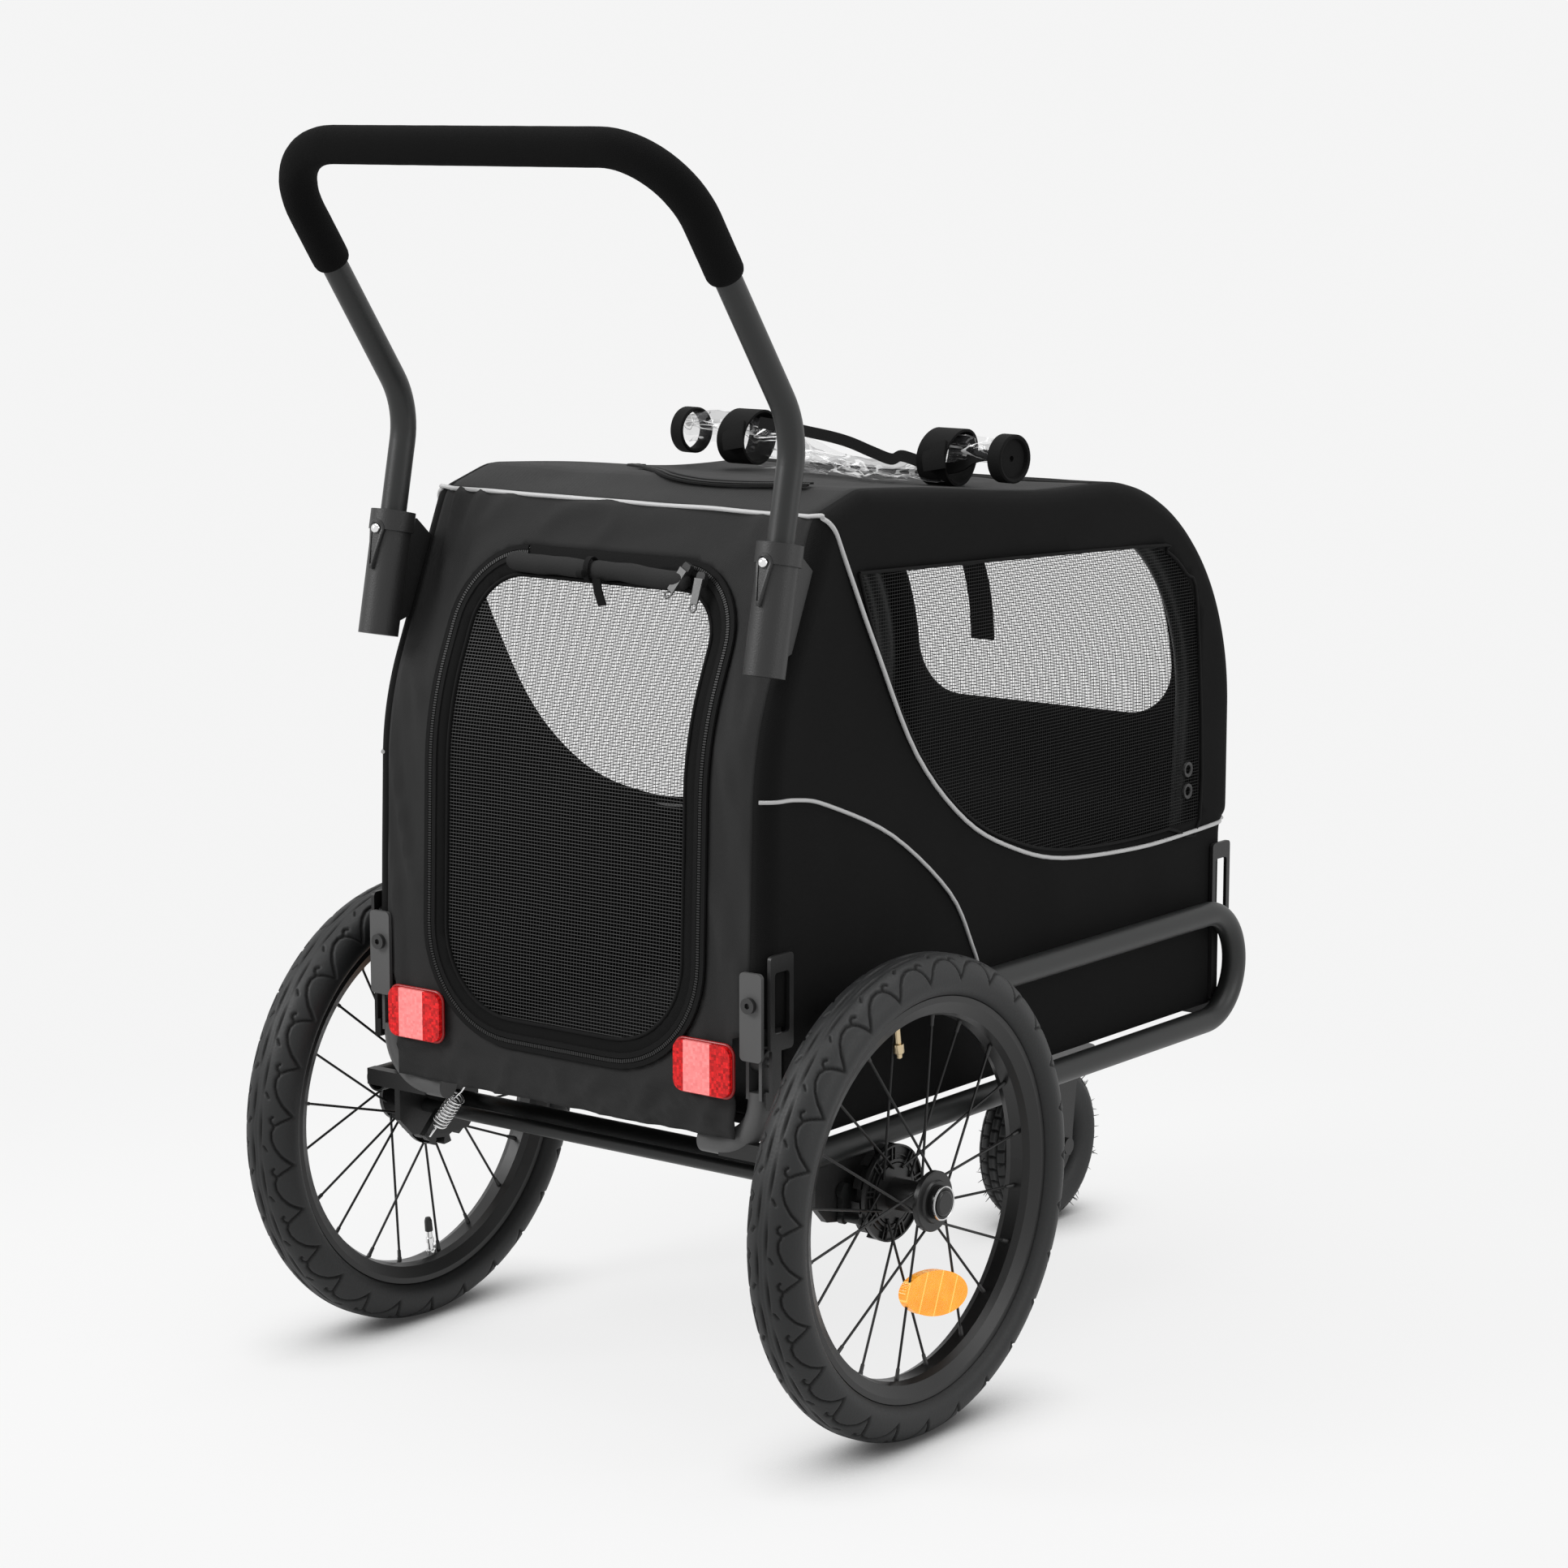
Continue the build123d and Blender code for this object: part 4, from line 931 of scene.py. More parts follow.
def sheet(name, flat, faces, solid, material, thick=1.6):
    """A sewn sheet: solid points for the flat cut's points, with the cut kept as its map."""
    mesh = bpy.data.meshes.new(name)
    mesh.from_pydata(metres(solid), [], faces)
    layer = mesh.uv_layers.new(name="cut")
    for corner in mesh.loops:
        layer.data[corner.index].uv = flat[corner.vertex_index] / 1000
    mesh.materials.append(material)
    mesh.shade_smooth()
    made = put(name, mesh)
    clean(mesh)
    made["shaped_area"] = sum(p.area for p in mesh.polygons)
    if thick:
        solidify = made.modifiers.new("thick", "SOLIDIFY")
        solidify.thickness = thick / 1000
        solidify.offset = 0.0
        settle(made)
    return made


def ripple(points, stretch, seed):
    """Smooth noise over flat points, stretched along each axis."""
    return np.array([noise.noise((p[0] / stretch[0], p[1] / stretch[1], seed)) for p in points])


def collapse(made):
    """Hangs a soft piece of the cover on the chassis, with a mesh of its own."""
    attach(made, "chassis")
    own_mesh(made)
    return made


def declare(made):
    """Works out a sheet's flat size and its shaped area, held within 0.3 to 1 of that rectangle, and keeps
    neither.
    """
    uv = np.array([tuple(c.uv) for c in made.data.uv_layers["cut"].data])
    size = np.ptp(uv, axis=0)
    area = min(made["shaped_area"], size[0] * size[1])
    area = max(area, 0.3 * size[0] * size[1])


def net(pitch, share, tones):
    """Open net on the flat cut: threads up and across with clear holes between, each way in its own tone."""
    def pattern(flow, shader):
        cut = flow.add("ShaderNodeUVMap", {"uv_map": "cut"})
        lines = []
        for n in (0, 1):
            part = flow.add("ShaderNodeSeparateXYZ", None, {"Vector": cut}, n) / pitch[n]
            lines.append(part.maths("FRACT") < share[n])
        lines[0].maths("MAXIMUM", lines[1]).into(shader, "Alpha")
        flow.mix(lines[1], *tones).into(shader, "Base Color")
    return pattern


NET_PITCH = (0.0032, 0.0029)
side_net = surface("side_net", 0.010, 0.7, specular=0.2, pattern=net(NET_PITCH, (0.14, 0.19), (0.008, 0.011)))
door_net = surface("door_net", 0.03, 0.6, specular=0.3, pattern=net(NET_PITCH, (0.13, 0.20), (0.012, 0.05)))

WINDOW_LOW = [(8, 704), (36, 636), (93, 546), (163, 484), (235, 451), (310, 433), (426, 426), (534, 428)]
WINDOW = smooth_flat(WINDOW_LOW, 6) + arc_through((530, 600), (498, 662), (432, 688), 12)
edge_line = [tuple(p) for p in COVER]
side_outline = [(578, SIDE_HEM_Z), (NOTCH_Y, SIDE_HEM_Z), (NOTCH_Y, NOTCH_Z)]
side_outline += [p for p in edge_line if p[0] > 0 or p[1] > NOTCH_Z]
side_flat, side_faces = region(side_outline, [WINDOW], 11.0, (1.0, 3.0, 6.0, 10.0, 15.0), edge_line)
to_edge = edge_distance(side_flat, COVER)
roll_in = np.clip(CORNER - to_edge, 0, CORNER)
drop = CORNER - np.sqrt(np.maximum(CORNER**2 - roll_in**2, 0))
puff = 2.6 * ripple(side_flat, (150, 120), 1.7) + 0.9 * ripple(side_flat, (45, 60), 5.2) - 1.5
puff *= np.clip(to_edge / 40, 0, 1) * np.clip((side_flat[:, 1] - 262) / 60, 0, 1)
window_flat, window_faces = region(WINDOW, [], 14.0)
window_sag = 2.5 * ripple(window_flat, (160, 140), 9.1)
window_sag *= np.clip(edge_distance(window_flat, shut(WINDOW)) / 50, 0, 1)
WINDOW_PIPING = [(-22, 736), (-2, 699), (31, 640), (88, 546), (159, 481), (232, 446), (308, 426), (426, 417),
                 (520, 418), (586, 421)]
ARCH_PIPING = [(-111, 533), (-75, 531), (-34, 521), (55, 483), (136, 423), (170, 372), (181, 345), (186, 300)]
piping_grey = surface("piping_grey", 0.46, 0.42, pattern=grain(800.0, 0.0002))
eyelet_grey = surface("eyelet_grey", 0.035, 0.4, 0.6, pattern=grain(500.0, 0.00004, (0.34, 0.46)))
SEAM_Y, SEAM_Z = COVER[REAR_COUNT] + (-0.6, 0.9)
EYELET = [(0, 7.4), (1.6, 7.0), (1.9, 5.6), (1.2, 4.2), (0, 4.2)]


def side_x(y, z):
    """How far out a side panel stands, at its smooth places."""
    gap = edge_distance(np.array([[y, z]]), COVER)[0]
    inward = max(CORNER - gap, 0)
    return COVER_X - CORNER + math.sqrt(max(CORNER**2 - inward**2, 0))


def bead(line, out, radius, side, from_seam=False):
    """A round edge cord along a line on a side panel; it may turn the corner from the seam over the door."""
    path = [(side * (side_x(y, z) + out), y, z) for y, z in dense(line, 12.0)]
    if from_seam:
        turn = dense([(SEAM_Y, SEAM_Z), line[0]], 2.5)[:-1]
        lift = [1.4 * (1 - n / len(turn)) for n in range(len(turn))]
        lead = [(side * (side_x(y, z) + out + up), y, z + up) for (y, z), up in zip(turn, lift)]
        path = [(side * (COVER_X - CORNER - 6), SEAM_Y, SEAM_Z)] + lead + path
    return sweep(smooth_path(path, 4), circle(radius, 10), (side, 0, 0.3))


for side_name, side in (("right", 1), ("left", -1)):
    solid = np.stack([side * (COVER_X - drop + puff), side_flat[:, 0], side_flat[:, 1]], axis=1)
    panel = sheet("side_cloth_" + side_name, side_flat, side_faces, solid, black_cloth)
    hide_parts("side_panel_" + side_name)
    declare(collapse(panel))
    solid = np.stack([side * (COVER_X - 0.8 + window_sag), window_flat[:, 0], window_flat[:, 1]], axis=1)
    pane = sheet("side_net_" + side_name, window_flat, window_faces, solid, side_net, 0)
    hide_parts("side_mesh_" + side_name)
    declare(collapse(pane))
    cords = [bead(smooth_flat(WINDOW_PIPING, 5), 0.6, 1.9, side, True)]
    cords.append(bead(smooth_flat(ARCH_PIPING, 5), 0.4, 1.7, side))
    collapse(build("side_piping_" + side_name, cords, piping_grey, sharp=60.0))
    hem_path = [(side * (COVER_X + 0.4), y, z) for y, z in smooth_flat(shut(WINDOW[::3]), 4)]
    hem_cord = sweep(hem_path, circle(1.5, 8), (side, 0, 0))
    collapse(build("window_hem_" + side_name, [hem_cord], webbing, sharp=60.0))
    turn_path = [(side * (COVER_X - 18), y, SIDE_HEM_Z + 2) for y in np.linspace(NOTCH_Y + 12, 576, 40)]
    build("turned_hem_" + side_name, [sweep(turn_path, strip(17.4, 0.6))], webbing, "chassis")
    rings = [turned((side * (COVER_X + 0.2), 511, z), (side, 0, 0), EYELET, 24, True) for z in (477, 457)]
    collapse(build("eyelets_" + side_name, rings, eyelet_grey, sharp=50.0))


# Roof and nose: one cloth from the rear seam over the roof, and the curved front with its net window.
# A strap for the rolled window cover hangs inside the front net; a curved zip closes a roof pocket.
def rectangle(x, s0, s1):
    """Outline of a straight cut, x to each side."""
    return [(-x, s0), (x, s0), (x, s1), (-x, s1)]


def quarter(x, z, radius, start, steps):
    """Points of a quarter circle from a start angle in degrees."""
    turns = [math.radians(start + 90 * n / steps) for n in range(steps + 1)]
    return [(x + radius * math.cos(a), z + radius * math.sin(a)) for a in turns]


def rounded_box(x0, x1, z0, z1, radius):
    """A rectangle with round corners, as (x, z) points."""
    made = []
    for x, z, start in ((x1 - radius, z1 - radius, 0), (x0 + radius, z1 - radius, 90),
                        (x0 + radius, z0 + radius, 180), (x1 - radius, z0 + radius, 270)):
        made += quarter(x, z, radius, start, 8)
    return made


EDGE_X = COVER_X - CORNER
flat, faces = region(rectangle(EDGE_X, S_PIPING, S_ROOF), [], 12.0)
free = np.clip((EDGE_X - np.abs(flat[:, 0])) / 60, 0, 1)
free = free * np.clip((flat[:, 1] - S_PIPING) / 40, 0, 1)
out = free * (2.4 * ripple(flat, (120, 90), 2.2) + 1.2 * ripple(flat, (40, 60), 6.1) - 1.0)
roof = sheet("roof_cloth", flat, faces, on_cover(flat, out), grey_cloth)
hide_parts("roof_panel")
declare(collapse(roof))

front_window = [(x, nose_s(z)) for x, z in rounded_box(-147, 147, 507, 697, 50)]
flat, faces = region(rectangle(EDGE_X, S_ROOF, S_END - 8), [front_window], 12.0)
free = np.clip((EDGE_X - np.abs(flat[:, 0])) / 50, 0, 1)
out = free * (1.6 * ripple(flat, (110, 80), 4.4) - 0.6)
nose = sheet("nose_cloth", flat, faces, on_cover(flat, out), black_cloth)
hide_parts("front_panel")
declare(collapse(nose))
flat, faces = region(front_window, [], 14.0)
nose_net = sheet("nose_net", flat, faces, on_cover(flat, 0.0), side_net, 0)
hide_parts("front_mesh")
declare(collapse(nose_net))
hem_path = on_cover(dense(shut(front_window), 6.0)[:-1], 0.8)
hem_cord = sweep(hem_path, circle(2.2, 8), (0, 1, 0), True)
collapse(build("nose_window_hem", [hem_cord], webbing, sharp=60.0))
strap_rings = []
for share in np.linspace(0, 1, 16):
    s = nose_s(692 - 120 * share)
    left = -63 - 5 * share
    right = left + 26
    gap = -3.0 - 14.0 * share
    corners = ((left, gap), (right, gap), (right, gap - 1.6), (left, gap - 1.6))
    strap_rings.append([on_cover((x, s), out) for x, out in corners])
collapse(build("window_strap", [loft(strap_rings)], webbing))

zip_black = surface("zip_black", 0.016, 0.55, specular=0.3, pattern=grain(900.0, 0.0001))
zip_grey = surface("zip_grey", 0.075, 0.42, 0.5, pattern=grain(500.0, 0.00005, (0.36, 0.5)))
TOOTH = loft([[(x, y, z) for x, y in strip(0.7, 1.5)] for z in (0, 1.1)])


def zip_line(name, path, normals, body, pitch=2.2):
    """Zip tape welted along both edges of a line, and a row of teeth set down its middle."""
    welt = [(-2.6, -0.7), (2.6, -0.7), (2.0, 0.9), (-2.0, 0.9)]
    path = [Vector(p) for p in path]
    spots = []
    left = 0.0
    edges = [[], []]
    for i, (a, normal) in enumerate(zip(path, normals)):
        way = (path[min(i + 1, len(path) - 1)] - path[max(i - 1, 0)]).normalized()
        across = way.cross(Vector(normal)).normalized()
        for n, reach in ((0, 4.2), (1, -4.2)):
            edges[n].append(a + across * reach)
        if i + 1 < len(path):
            span = (path[i + 1] - a).length
            while left < span:
                spots.append((a + way * left, normal, way, 1.0))
                left += pitch
            left -= span
    welts = [sweep(edge, welt, normals[0]) for edge in edges]
    tape = build(name + "_tape", welts, webbing, body)
    teeth = repeat(name + "_teeth", spots, TOOTH, zip_black, body)
    return tape, teeth


def cover_normal(s):
    """The way out of the cover's face at a length along it."""
    return Vector((0, np.interp(s, COVER_S, COVER_OUT[:, 0]), np.interp(s, COVER_S, COVER_OUT[:, 1])))


ROOF_ZIP = [(-110, 120), (-98, 100), (-60, 74), (-25, 45), (2, 24), (33, 15), (61, 13), (92, 15), (118, 19),
            (150, 24)]
zip_flat = [(x, roof_s(y)) for x, y in smooth_flat(ROOF_ZIP, 10)]
for made in zip_line("roof_zip", on_cover(zip_flat, 2.4), [cover_normal(s) for x, s in zip_flat], None):
    collapse(made)


# Rear panel: heavier grey-black polyester, sewn round the door and pulled over the rear uprights.
# A reflective cord finishes its top seam.
# Two red prism lenses with moulded rims stand at its lower corners.
FOOT_X = 182.0


def door_edge(margin):
    """(x, s) points of the rear door's edge, from the top left corner down and round to the top right."""
    half = 150 - margin
    high_z = 710 - margin
    low_z = 300 + margin
    top_r = 65 - margin
    low_r = 95 - margin
    made = []
    top_z = high_z - top_r
    foot_z = low_z + low_r
    for corner in ((-half + top_r, top_z, top_r, 90), (-half + low_r, foot_z, low_r, 180),
                   (half - low_r, foot_z, low_r, 270), (half - top_r, top_z, top_r, 360)):
        made += quarter(*corner, 12)
    return [(x, rear_s(z)) for x, z in dense(made, 8.0)]


def folds(points, stretch, seed):
    """Ridges of pulled cloth: sharp crests with wide valleys, between 0 and 1."""
    return np.clip(1 - 2.6 * np.abs(ripple(points, stretch, seed)), 0, 1) ** 1.5


corner_s = rear_s(341)
right_half = [(FOOT_X, 0.0), (FOOT_X, corner_s), (EDGE_X, corner_s + 5), (EDGE_X, S_PIPING)]
back_outline = right_half + [(-x, s) for x, s in reversed(right_half)]
flat, faces = region(back_outline, [door_edge(0)], 5.5)
to_door = edge_distance(flat, shut(door_edge(0)))
to_side = EDGE_X - np.abs(flat[:, 0])
free = np.clip(to_door / 18, 0, 1) * np.clip(to_side / 9, 0, 1)
column = np.clip((np.abs(flat[:, 0]) - 146) / 12, 0, 1)
under = np.clip((52 - flat[:, 1]) / 22, 0, 1)
lean = np.stack([flat[:, 0] + 0.12 * flat[:, 1], flat[:, 1]], axis=1)
slant = np.stack([flat[:, 0] * 0.75 + flat[:, 1] * 0.9, flat[:, 1] * 0.75 - flat[:, 0] * 0.6], axis=1)
out = column * (1 - under) * (5.5 * folds(lean, (24, 170), 3.1) + 2.5 * ripple(lean, (11, 60), 7.7) - 1.5)
out += under * (4.5 * folds(slant, (70, 24), 8.3) + 2.5 * folds(slant, (34, 14), 2.9) - 2.0)
sag = 3.0 * folds(slant, (80, 40), 6.6) + 1.5 * ripple(flat, (60, 40), 4.9) - 1.0
out += (1 - column) * (1 - under) * sag
out = free * np.clip(out, -4.0, 5.0)
back = sheet("rear_cloth", flat, faces, on_cover(flat, out), grey_cloth)
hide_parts("rear_panel_lower", "rear_panel_upper")
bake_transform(back)
declare(back)
top_line = [(x, SEAM_Y, SEAM_Z + 0.8 * noise.noise((x / 60, 0.0, 4.0)) * min(1, (EDGE_X - abs(x)) / 40))
            for x in np.linspace(3 - EDGE_X, EDGE_X - 3, 40)]
build("rear_piping", [sweep(top_line, circle(1.9, 10))], piping_grey, "rear_frame", 60.0)


def lens_red(flow, shader):
    """Red prism cells with a paler band down the middle of each lens and a painted glow, in object
    coordinates.
    """
    spot = flow.add("ShaderNodeTexCoord", output="Object")
    x = flow.add("ShaderNodeSeparateXYZ", None, {"Vector": spot})
    band = (x + 0.1605).maths("ABSOLUTE").maths("MINIMUM", (x - 0.150).maths("ABSOLUTE")) < 0.0136
    cells = {"Vector": spot, "Scale": 420.0, "Randomness": 0.2}
    cell = flow.add("ShaderNodeTexVoronoi", {"feature": "DISTANCE_TO_EDGE"}, cells)
    tone = flow.add("ShaderNodeTexVoronoi", None, cells, "Color")
    tone = flow.add("ShaderNodeSeparateColor", None, {"Color": tone})
    shine = tone * 0.8 + cell * 1.2
    sides = flow.mix(shine, (0.24, 0.0015, 0.002), (0.80, 0.012, 0.014))
    middle = flow.mix(shine, (0.78, 0.19, 0.19), (0.95, 0.29, 0.28))
    colour = flow.mix(band, sides, middle)
    colour.into(shader, "Base Color")
    # painted glow: emission makes the lens shine as if lit
    colour.into(shader, "Emission Color")
    shader.inputs["Emission Strength"].default_value = 0.2
    cell.bump(0.0004, shader)


paint(surface("red_lens", (0.7, 0.02, 0.02), 0.15, specular=0.25, pattern=lens_red), "rear_reflectors")
LENS_RIMS = (("reflector_rims", 0.0, 1.5, (0.30, 0.003, 0.004)),
             ("reflector_edges", 2.6, 0.7, (0.85, 0.08, 0.07)))
LENS_X = (-157, 155)
LENS_HALF = 29.6
LENS_LOW = 292.4
LENS_HIGH = 335.6
LENS_CORNER = 9
for name, inset, radius, colour in LENS_RIMS:
    lines = []
    for x in LENS_X:
        box = rounded_box(x - LENS_HALF + inset, x + LENS_HALF - inset, LENS_LOW + inset, LENS_HIGH - inset,
                          LENS_CORNER - inset)
        lines.append(sweep([(px, -122.0, pz) for px, pz in box], circle(radius, 8), (0, -1, 0), True))
    red_edge = surface(name, colour, 0.3, pattern=grain(300.0, 0.00003, (0.24, 0.36)))
    build(name, lines, red_edge, "chassis", 60.0)


# Rear door: bound edge, fine net, a coil zip down both sides and along the bottom, and a sewn top edge.
# The rolled flap is tied along its top with a toggle loop; two sliders hang at the right end of the zip.
flat, faces = region(door_edge(1.5), [door_edge(24)], 8.0)
from_edge = edge_distance(flat, shut(door_edge(1.5)))
out = 0.6 + 1.8 * np.sin(np.clip(from_edge / 22.5, 0, 1) * math.pi) + 0.5 * ripple(flat, (30, 30), 1.1)
band = sheet("door_binding", flat, faces, on_cover(flat, out), black_cloth, 1.2)
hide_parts("rear_door_band")
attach(band, "rear_door")
declare(band)
flat, faces = region(door_edge(23), [], 11.0)
from_edge = edge_distance(flat, shut(door_edge(23)))
sag = 2.0 * ripple(flat, (120, 90), 5.5) + 1.2 * ripple(flat, (40, 70), 3.8)
out = 0.8 + np.clip(from_edge / 60, 0, 1) * sag
door_pane = sheet("door_net", flat, faces, on_cover(flat, out), door_net, 0)
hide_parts("rear_door_mesh")
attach(door_pane, "rear_door")
declare(door_pane)
zip_flat = dense(door_edge(5.0), 3.0)
zip_line("door_zip", on_cover(zip_flat, 3.2), [cover_normal(s) for x, s in zip_flat], "rear_door")
seam_flat = dense([zip_flat[-1], zip_flat[0]], 6.0)
seam = sweep(on_cover(seam_flat, 2.0), strip(7, 0.6), cover_normal(seam_flat[0][1]))
build("door_top_seam", [seam], webbing, "rear_frame")
hem_path = on_cover(dense(shut(door_edge(22.5)), 6.0)[:-1], 1.6)
hem_cord = sweep(hem_path, circle(1.6, 8), (0, -1, 0), True)
build("door_net_hem", [hem_cord], webbing, "rear_door", 60.0)
flap_path = []
for x in np.linspace(-98, 96, 50):
    s = rear_s(694 + 2.0 * noise.noise((x / 50, 1.0, 0.0))) - 0.02 * x
    flap_path.append(on_cover((x, s), 9.5 + 1.2 * noise.noise((x / 35, 3.0, 2.0))))


def flap_section(share):
    """A loose roll: round, a little uneven, and drawn in at both ends and under the toggle."""
    size = 8.6 + 1.2 * noise.noise((share * 9, 0.0, 5.0))
    size *= 1 - 0.5 * math.exp(-min(share, 1 - share) / 0.02) - 0.22 * math.exp(-((share - 0.46) / 0.03) ** 2)
    made = []
    for t, (a, b) in enumerate(circle(1.0, 20)):
        made.append((a * size * 0.7 * (1 + 0.06 * math.sin(3 * t)), b * size * 0.95))
    return made


flap_grey = surface("flap_grey", 0.013, 0.74, specular=0.22, pattern=grain(800.0, 0.0003))
flap = build("flap_roll", [sweep(flap_path, flap_section)], flap_grey, "rear_door", 70.0)
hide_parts("rear_flap_roll")
loop_at = Vector(flap_path[23])
loop_turns = np.linspace(0, 2 * math.pi, 28)[:-1]
loop_line = [loop_at + Vector((0, -7.6 * math.cos(a), 10.6 * math.sin(a))) for a in loop_turns]
loop = sweep(loop_line, strip(2.6, 0.6), (0, -1, 0), True)
peg = turned(loop_at + Vector((-4, -13, -2)), (1, 0, 0.1), [(0, 2.2), (1, 3.6), (7, 3.6), (8, 2.2)], 14)
tail_line = [loop_at + Vector(p) for p in ((12, -8, -6), (13, -7, -16), (14, -3, -28))]
loop_tail = sweep(tail_line, strip(4.2, 0.6), (0, -1, 0.4))
build("flap_toggle", [loop, peg, loop_tail], webbing, "rear_door")
sliders = []
pulls = []


def pull_section(share):
    """A flat pull tab, a little narrower toward its end."""
    return strip(4.2 - 0.8 * share, 0.8)


def slider_section(share):
    """A zip slider, widest at its middle."""
    return strip(4.8 - 1.6 * abs(2 * share - 1), 2.4)


for x, z, swing in ((92, 700, -16), (110, 694, -1)):
    spot = Vector(on_cover((x, rear_s(z)), 11.0))
    face_way = cover_normal(rear_s(z))
    down = Vector((swing / 30, -0.3, -1)).normalized()
    sliders.append(sweep([spot + down * d for d in (-6, -4, 4, 6)], slider_section, face_way))
    pull = spot + face_way * 3.6
    pulls.append(sweep([pull + down * d for d in (0, 2, 10, 20, 21)], pull_section, face_way))
    ring_at = pull + down * 24
    ring_line = [ring_at + down * (3.4 * math.cos(a)) + Vector((3.4 * math.sin(a), 0, 0)) for a in loop_turns]
    pulls.append(sweep(ring_line, circle(0.8, 6), face_way, True))
build("zip_sliders", sliders, zip_black, "rear_door", 30.0)
build("zip_pulls", pulls, zip_grey, "rear_door", 30.0)


# Rain cover: clear film rolled up across the roof, held by two black hook-and-loop straps.
# Its bound ends show as black discs, its edge tape droops along the roll and loose film lies behind it.
def clear_sheet(flow, shader):
    """Clear film, hardly seen but for painted white glints and painted dark reflections in its folds, in
    object coordinates.
    """
    spot = flow.add("ShaderNodeTexCoord", output="Object")
    long_way = flow.add("ShaderNodeVectorMath", {"operation": "MULTIPLY"}, {0: spot, 1: (0.28, 1.0, 1.0)})
    crease = flow.add("ShaderNodeTexNoise", None,
                      {"Vector": long_way, "Scale": 42.0, "Detail": 1.5, "Distortion": 0.8})
    # painted highlight: thin white glints on the film
    painted_glint = (crease - 0.5).maths("ABSOLUTE") < 0.012
    # painted reflection: darker, less clear film where it folds
    painted_dark_fold = crease > 0.56
    (painted_glint * 0.6 + painted_dark_fold * 0.28 + 0.06).into(shader, "Alpha")
    flow.mix(painted_glint, (0.10, 0.10, 0.105), 0.9).into(shader, "Base Color")
    crease.bump(0.004, shader)


film = surface("clear_film", 0.55, 0.08, specular=0.9, pattern=clear_sheet)
ROLL_LINE = [(-200, 299, 781), (-165, 298, 784), (-130, 296, 780), (-100, 293, 776), (-60, 289, 769),
             (-20, 285, 761), (20, 280, 757), (60, 276, 758), (90, 273, 768), (110, 271, 779),
             (140, 267, 783), (172, 264, 780)]
ROLL_X = [-196, -137, -80, -20, 60, 105, 140, 178]
ROLL_RADIUS = [12, 16, 14, 9, 8, 12, 10, 10]
roll_path = smooth_path(ROLL_LINE, 8)


def roll_section(share):
    """A crumpled roll, full at the straps and slack between them."""
    at = roll_path[round(share * (len(roll_path) - 1))]
    full = float(np.interp(at.x, ROLL_X, ROLL_RADIUS))
    made = []
    for a, b in circle(1.0, 36):
        crush = 0.16 * noise.noise((a * 2.2 + share * 14, b * 2.2, share * 30))
        crush += 0.10 * noise.noise((a * 5, b * 5, share * 60))
        made.append((a * full * (1 + crush), b * full * (1 + crush)))
    return made


def core_section(share):
    """The inner turns of the roll."""
    return [(a * 0.55, b * 0.5) for a, b in roll_section(share)]


roll = build("rain_film_roll", [sweep(roll_path, roll_section)], film, sharp=80.0)
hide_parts("rain_cover_roll")
collapse(roll)
core_path = [p + Vector((0, 1.5, -1.0)) for p in roll_path]
collapse(build("rain_film_core", [sweep(core_path, core_section)], film, sharp=80.0))
TAPE_Y = 262.0
TAPE_LINE = [(-87, 793.8), (-55, 791), (-31, 788), (-7, 785), (14, 781), (38, 774), (58, 769), (68, 772.4),
             (81, 770.4), (98, 766), (119.5, 764.4), (134, 768), (144, 774), (157, 777.7), (170, 777.3)]
tape_path = smooth_path([(x, TAPE_Y, z) for x, z in TAPE_LINE], 6)
tape = sweep(tape_path, strip(0.7, 5.0), (0, 0.3, 1))
collapse(build("rain_edge_tape", [tape], webbing))
STRAP_R = 25.0
STRAP_HALF = 15.0
STRAP_IN = STRAP_R - 2.2
strap_corners = [(-STRAP_HALF, STRAP_IN), (STRAP_HALF, STRAP_IN)]
strap_corners += [(STRAP_HALF, STRAP_R), (-STRAP_HALF, STRAP_R)]
straps = []
for x, y, z in ((-127, 295, 777), (112, 270.5, 773.5)):
    rings = []
    for a in np.linspace(0, 2 * math.pi, 41)[:-1]:
        wave = 1 + 0.03 * math.sin(3 * a + x)
        across = x + 3 * math.sin(a)
        rings.append([(across + dx, y + r * wave * math.cos(a), z + r * wave * math.sin(a))
                      for dx, r in strap_corners])
    straps.append(loft(rings, True))
    tail_line = [(x + 2, y - 21, z + 13), (x + 5, y - 28, z + 2), (x + 7, y - 28.5, z - 9)]
    straps.append(sweep(tail_line, strip(12, 0.9), (0, -1, 0)))
strap_loops = build("strap_loops", straps, webbing)
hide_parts("roll_straps")
collapse(strap_loops)
END_RIM = [(-3, 16.5), (-6.5, 17.5), (-7.5, 19.5), (-6.5, 21), (6.5, 21), (7.5, 19.5), (6.5, 17.5), (3, 16.5)]
discs = [turned((-195, 299, 779.5), (1, -0.1, 0), END_RIM, 36, True),
         turned((181, 263.5, 776), (1, -0.1, 0), END_RIM + [(3, 2.6), (-3, 2.6)], 36, True)]
collapse(build("roll_end_discs", discs, webbing))
FILM_BACK = [(-130, 285), (-84, 274), (-38, 260), (30, 236), (80, 234), (122, 246)]
FILM_FRONT = [(122, 269), (60, 276), (0, 282), (-70, 290), (-130, 296)]
film_back = [(x, roof_s(y)) for x, y in FILM_BACK]
film_front = [(x, roof_s(y)) for x, y in FILM_FRONT]
flat, faces = region(film_back + film_front, [], 4.5)
crush = np.abs(ripple(flat, (26, 30), 1.3)) + 0.5 * np.abs(ripple(flat, (11, 18), 6.3))
out = 3.0 + 9 * crush * np.clip(edge_distance(flat, film_back) / 20, 0.1, 1)
loose = sheet("rain_film_loose", flat, faces, on_cover(flat, out), film, 0)
declare(collapse(loose))


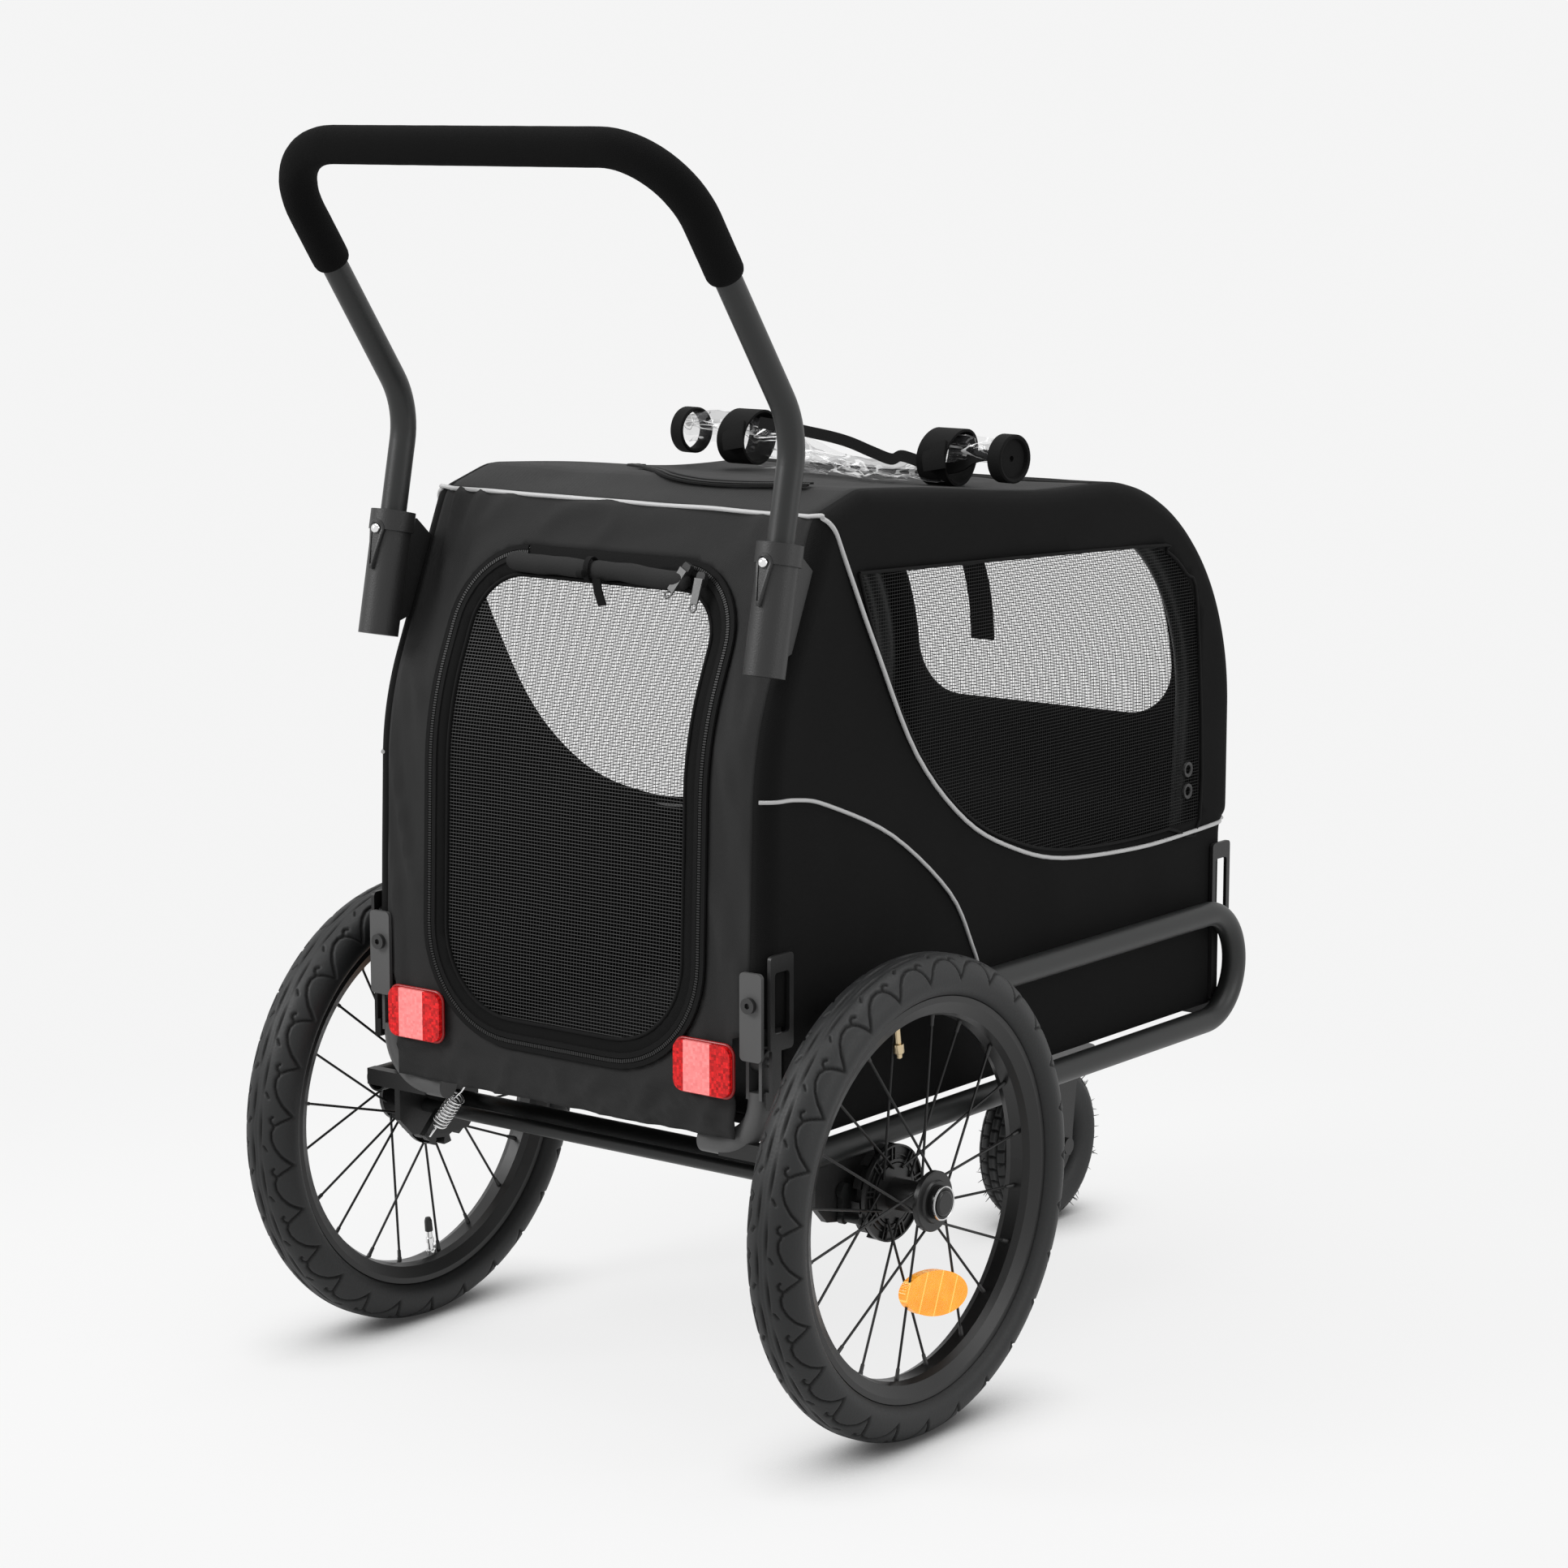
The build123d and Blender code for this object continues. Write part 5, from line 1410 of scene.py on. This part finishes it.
# Push handle: bent tube that slides in two plastic sockets and snaps at a ball button.
# The grip is black closed-cell foam with rounded ends; a drop-shaped pad surrounds each button.
socket_plastic = surface("socket_plastic", 0.009, 0.44, pattern=grain(800.0, 0.0002, (0.4, 0.54)))
paint(socket_plastic, "handle_sockets")
paint(bright_steel, "handle_button_right", "handle_button_left")
LEG = Vector((0, 40, 191)).normalized()
LEG_BACK = Vector((0, -LEG.z, LEG.y))
HANDLE_X = 206
SOCKET_LOW = Vector((0, -110, 633))
BUTTON_UP = 88
SNAP_BALL = [(0, 4.4), (2.2, 4.4), (3.6, 3.8), (4.7, 2.7), (5.4, 1.2), (5.5, 0.2)]
PAD_R = 8.0
turns = np.linspace(math.radians(-20), math.radians(200), 22)
drop_line = [(PAD_R * math.cos(a), PAD_R * math.sin(a)) for a in turns]
drop_line += [(-3.6, -22), (-1.6, -34), (1.6, -34), (3.6, -22)]
pads = []


def pad_ring(centre, reach, size, tail_size):
    """One level of a drop-shaped pad that follows the round sleeve."""
    made = []
    for a, b in drop_line:
        along = b * (size if b > 0 else tail_size)
        made.append(centre + Vector((a * size, 0, 0)) + LEG * along + LEG_BACK * (reach - 0.03 * a * a))
    return made


for side, side_name in ((1, "right"), (-1, "left")):
    centre = Vector((side * HANDLE_X, *SOCKET_LOW.yz)) + LEG * BUTTON_UP
    levels = ((15.0, 1.0, 1.0), (19.7, 1.0, 1.0), (20.5, 0.88, 0.94), (20.5, 0.64, 0.9), (19.5, 0.6, 0.86))
    pads.append(loft([pad_ring(centre, *level) for level in levels]))
    ball = turned(centre + LEG_BACK * 17.2, LEG_BACK, SNAP_BALL, 20)
    build("snap_ball_" + side_name, [ball], chrome, "handle_snap_" + side_name, 60.0)
build("socket_pads", pads, socket_plastic, "rear_frame", 35.0)


def rounded(points, radius, steps):
    """A line with its inner corners turned to arcs."""
    points = [Vector(p) for p in points]
    made = [points[0]]
    for a, b, c in zip(points, points[1:], points[2:]):
        u = (a - b).normalized()
        v = (c - b).normalized()
        half = u.angle(v) / 2
        middle = b + (u + v).normalized() * (radius / math.sin(half))
        arm = b + u * (radius / math.tan(half)) - middle
        axis = arm.cross(b + v * (radius / math.tan(half)) - middle)
        for n in range(steps + 1):
            made.append(middle + Matrix.Rotation((math.pi - 2 * half) * n / steps, 3, axis) @ arm)
    return made + [points[-1]]


GRIP_R = 15.5
GRIP_BORE = 11.4
GRIP_DOME = 8
GRIP_BEND = 68
grip_corners = [(HANDLE_X, -154.6, 944.6), (HANDLE_X, -223.5, 1042.8)]
grip_corners += [(-HANDLE_X, -223.5, 1042.8), (-HANDLE_X, -154.6, 944.6)]
grip_line = rounded(grip_corners, GRIP_BEND, 16)
grip_line = [Vector(p) for p in dense([tuple(p) for p in grip_line], 6.0)]
grip_length = sum((b - a).length for a, b in zip(grip_line, grip_line[1:]))


def grip_section(share):
    """Round foam, domed over the last few millimetres of each end."""
    share = grip_reach[round(share * (len(grip_line) - 1))] / grip_length
    to_end = min(share, 1 - share) * grip_length
    dome = math.sqrt(max(1 - (1 - min(to_end / GRIP_DOME, 1)) ** 2, 0))
    size = GRIP_BORE + (GRIP_R - GRIP_BORE) * dome + 0.12 * noise.noise((share * 40, 0.0, 0.0))
    return circle(size, 28)


ends = [grip_line[0] + (grip_line[1] - grip_line[0]) * t for t in (0, 0.08, 0.25, 0.5)]
ends_last = [grip_line[-1] + (grip_line[-2] - grip_line[-1]) * t for t in (0.5, 0.25, 0.08, 0)]
grip_line = ends + grip_line[1:-1] + ends_last
grip_reach = [0.0]
for a, b in zip(grip_line, grip_line[1:]):
    grip_reach.append(grip_reach[-1] + (b - a).length)
foam_black = surface("foam_black", 0.0045, 0.95, specular=0.08, pattern=grain(1400.0, 0.0006))
grip_foam = sweep(grip_line, grip_section, (0, -1, 0))
grip = build("foam_grip", [grip_foam], foam_black, "handle", 70.0)
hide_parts("handle_grip")
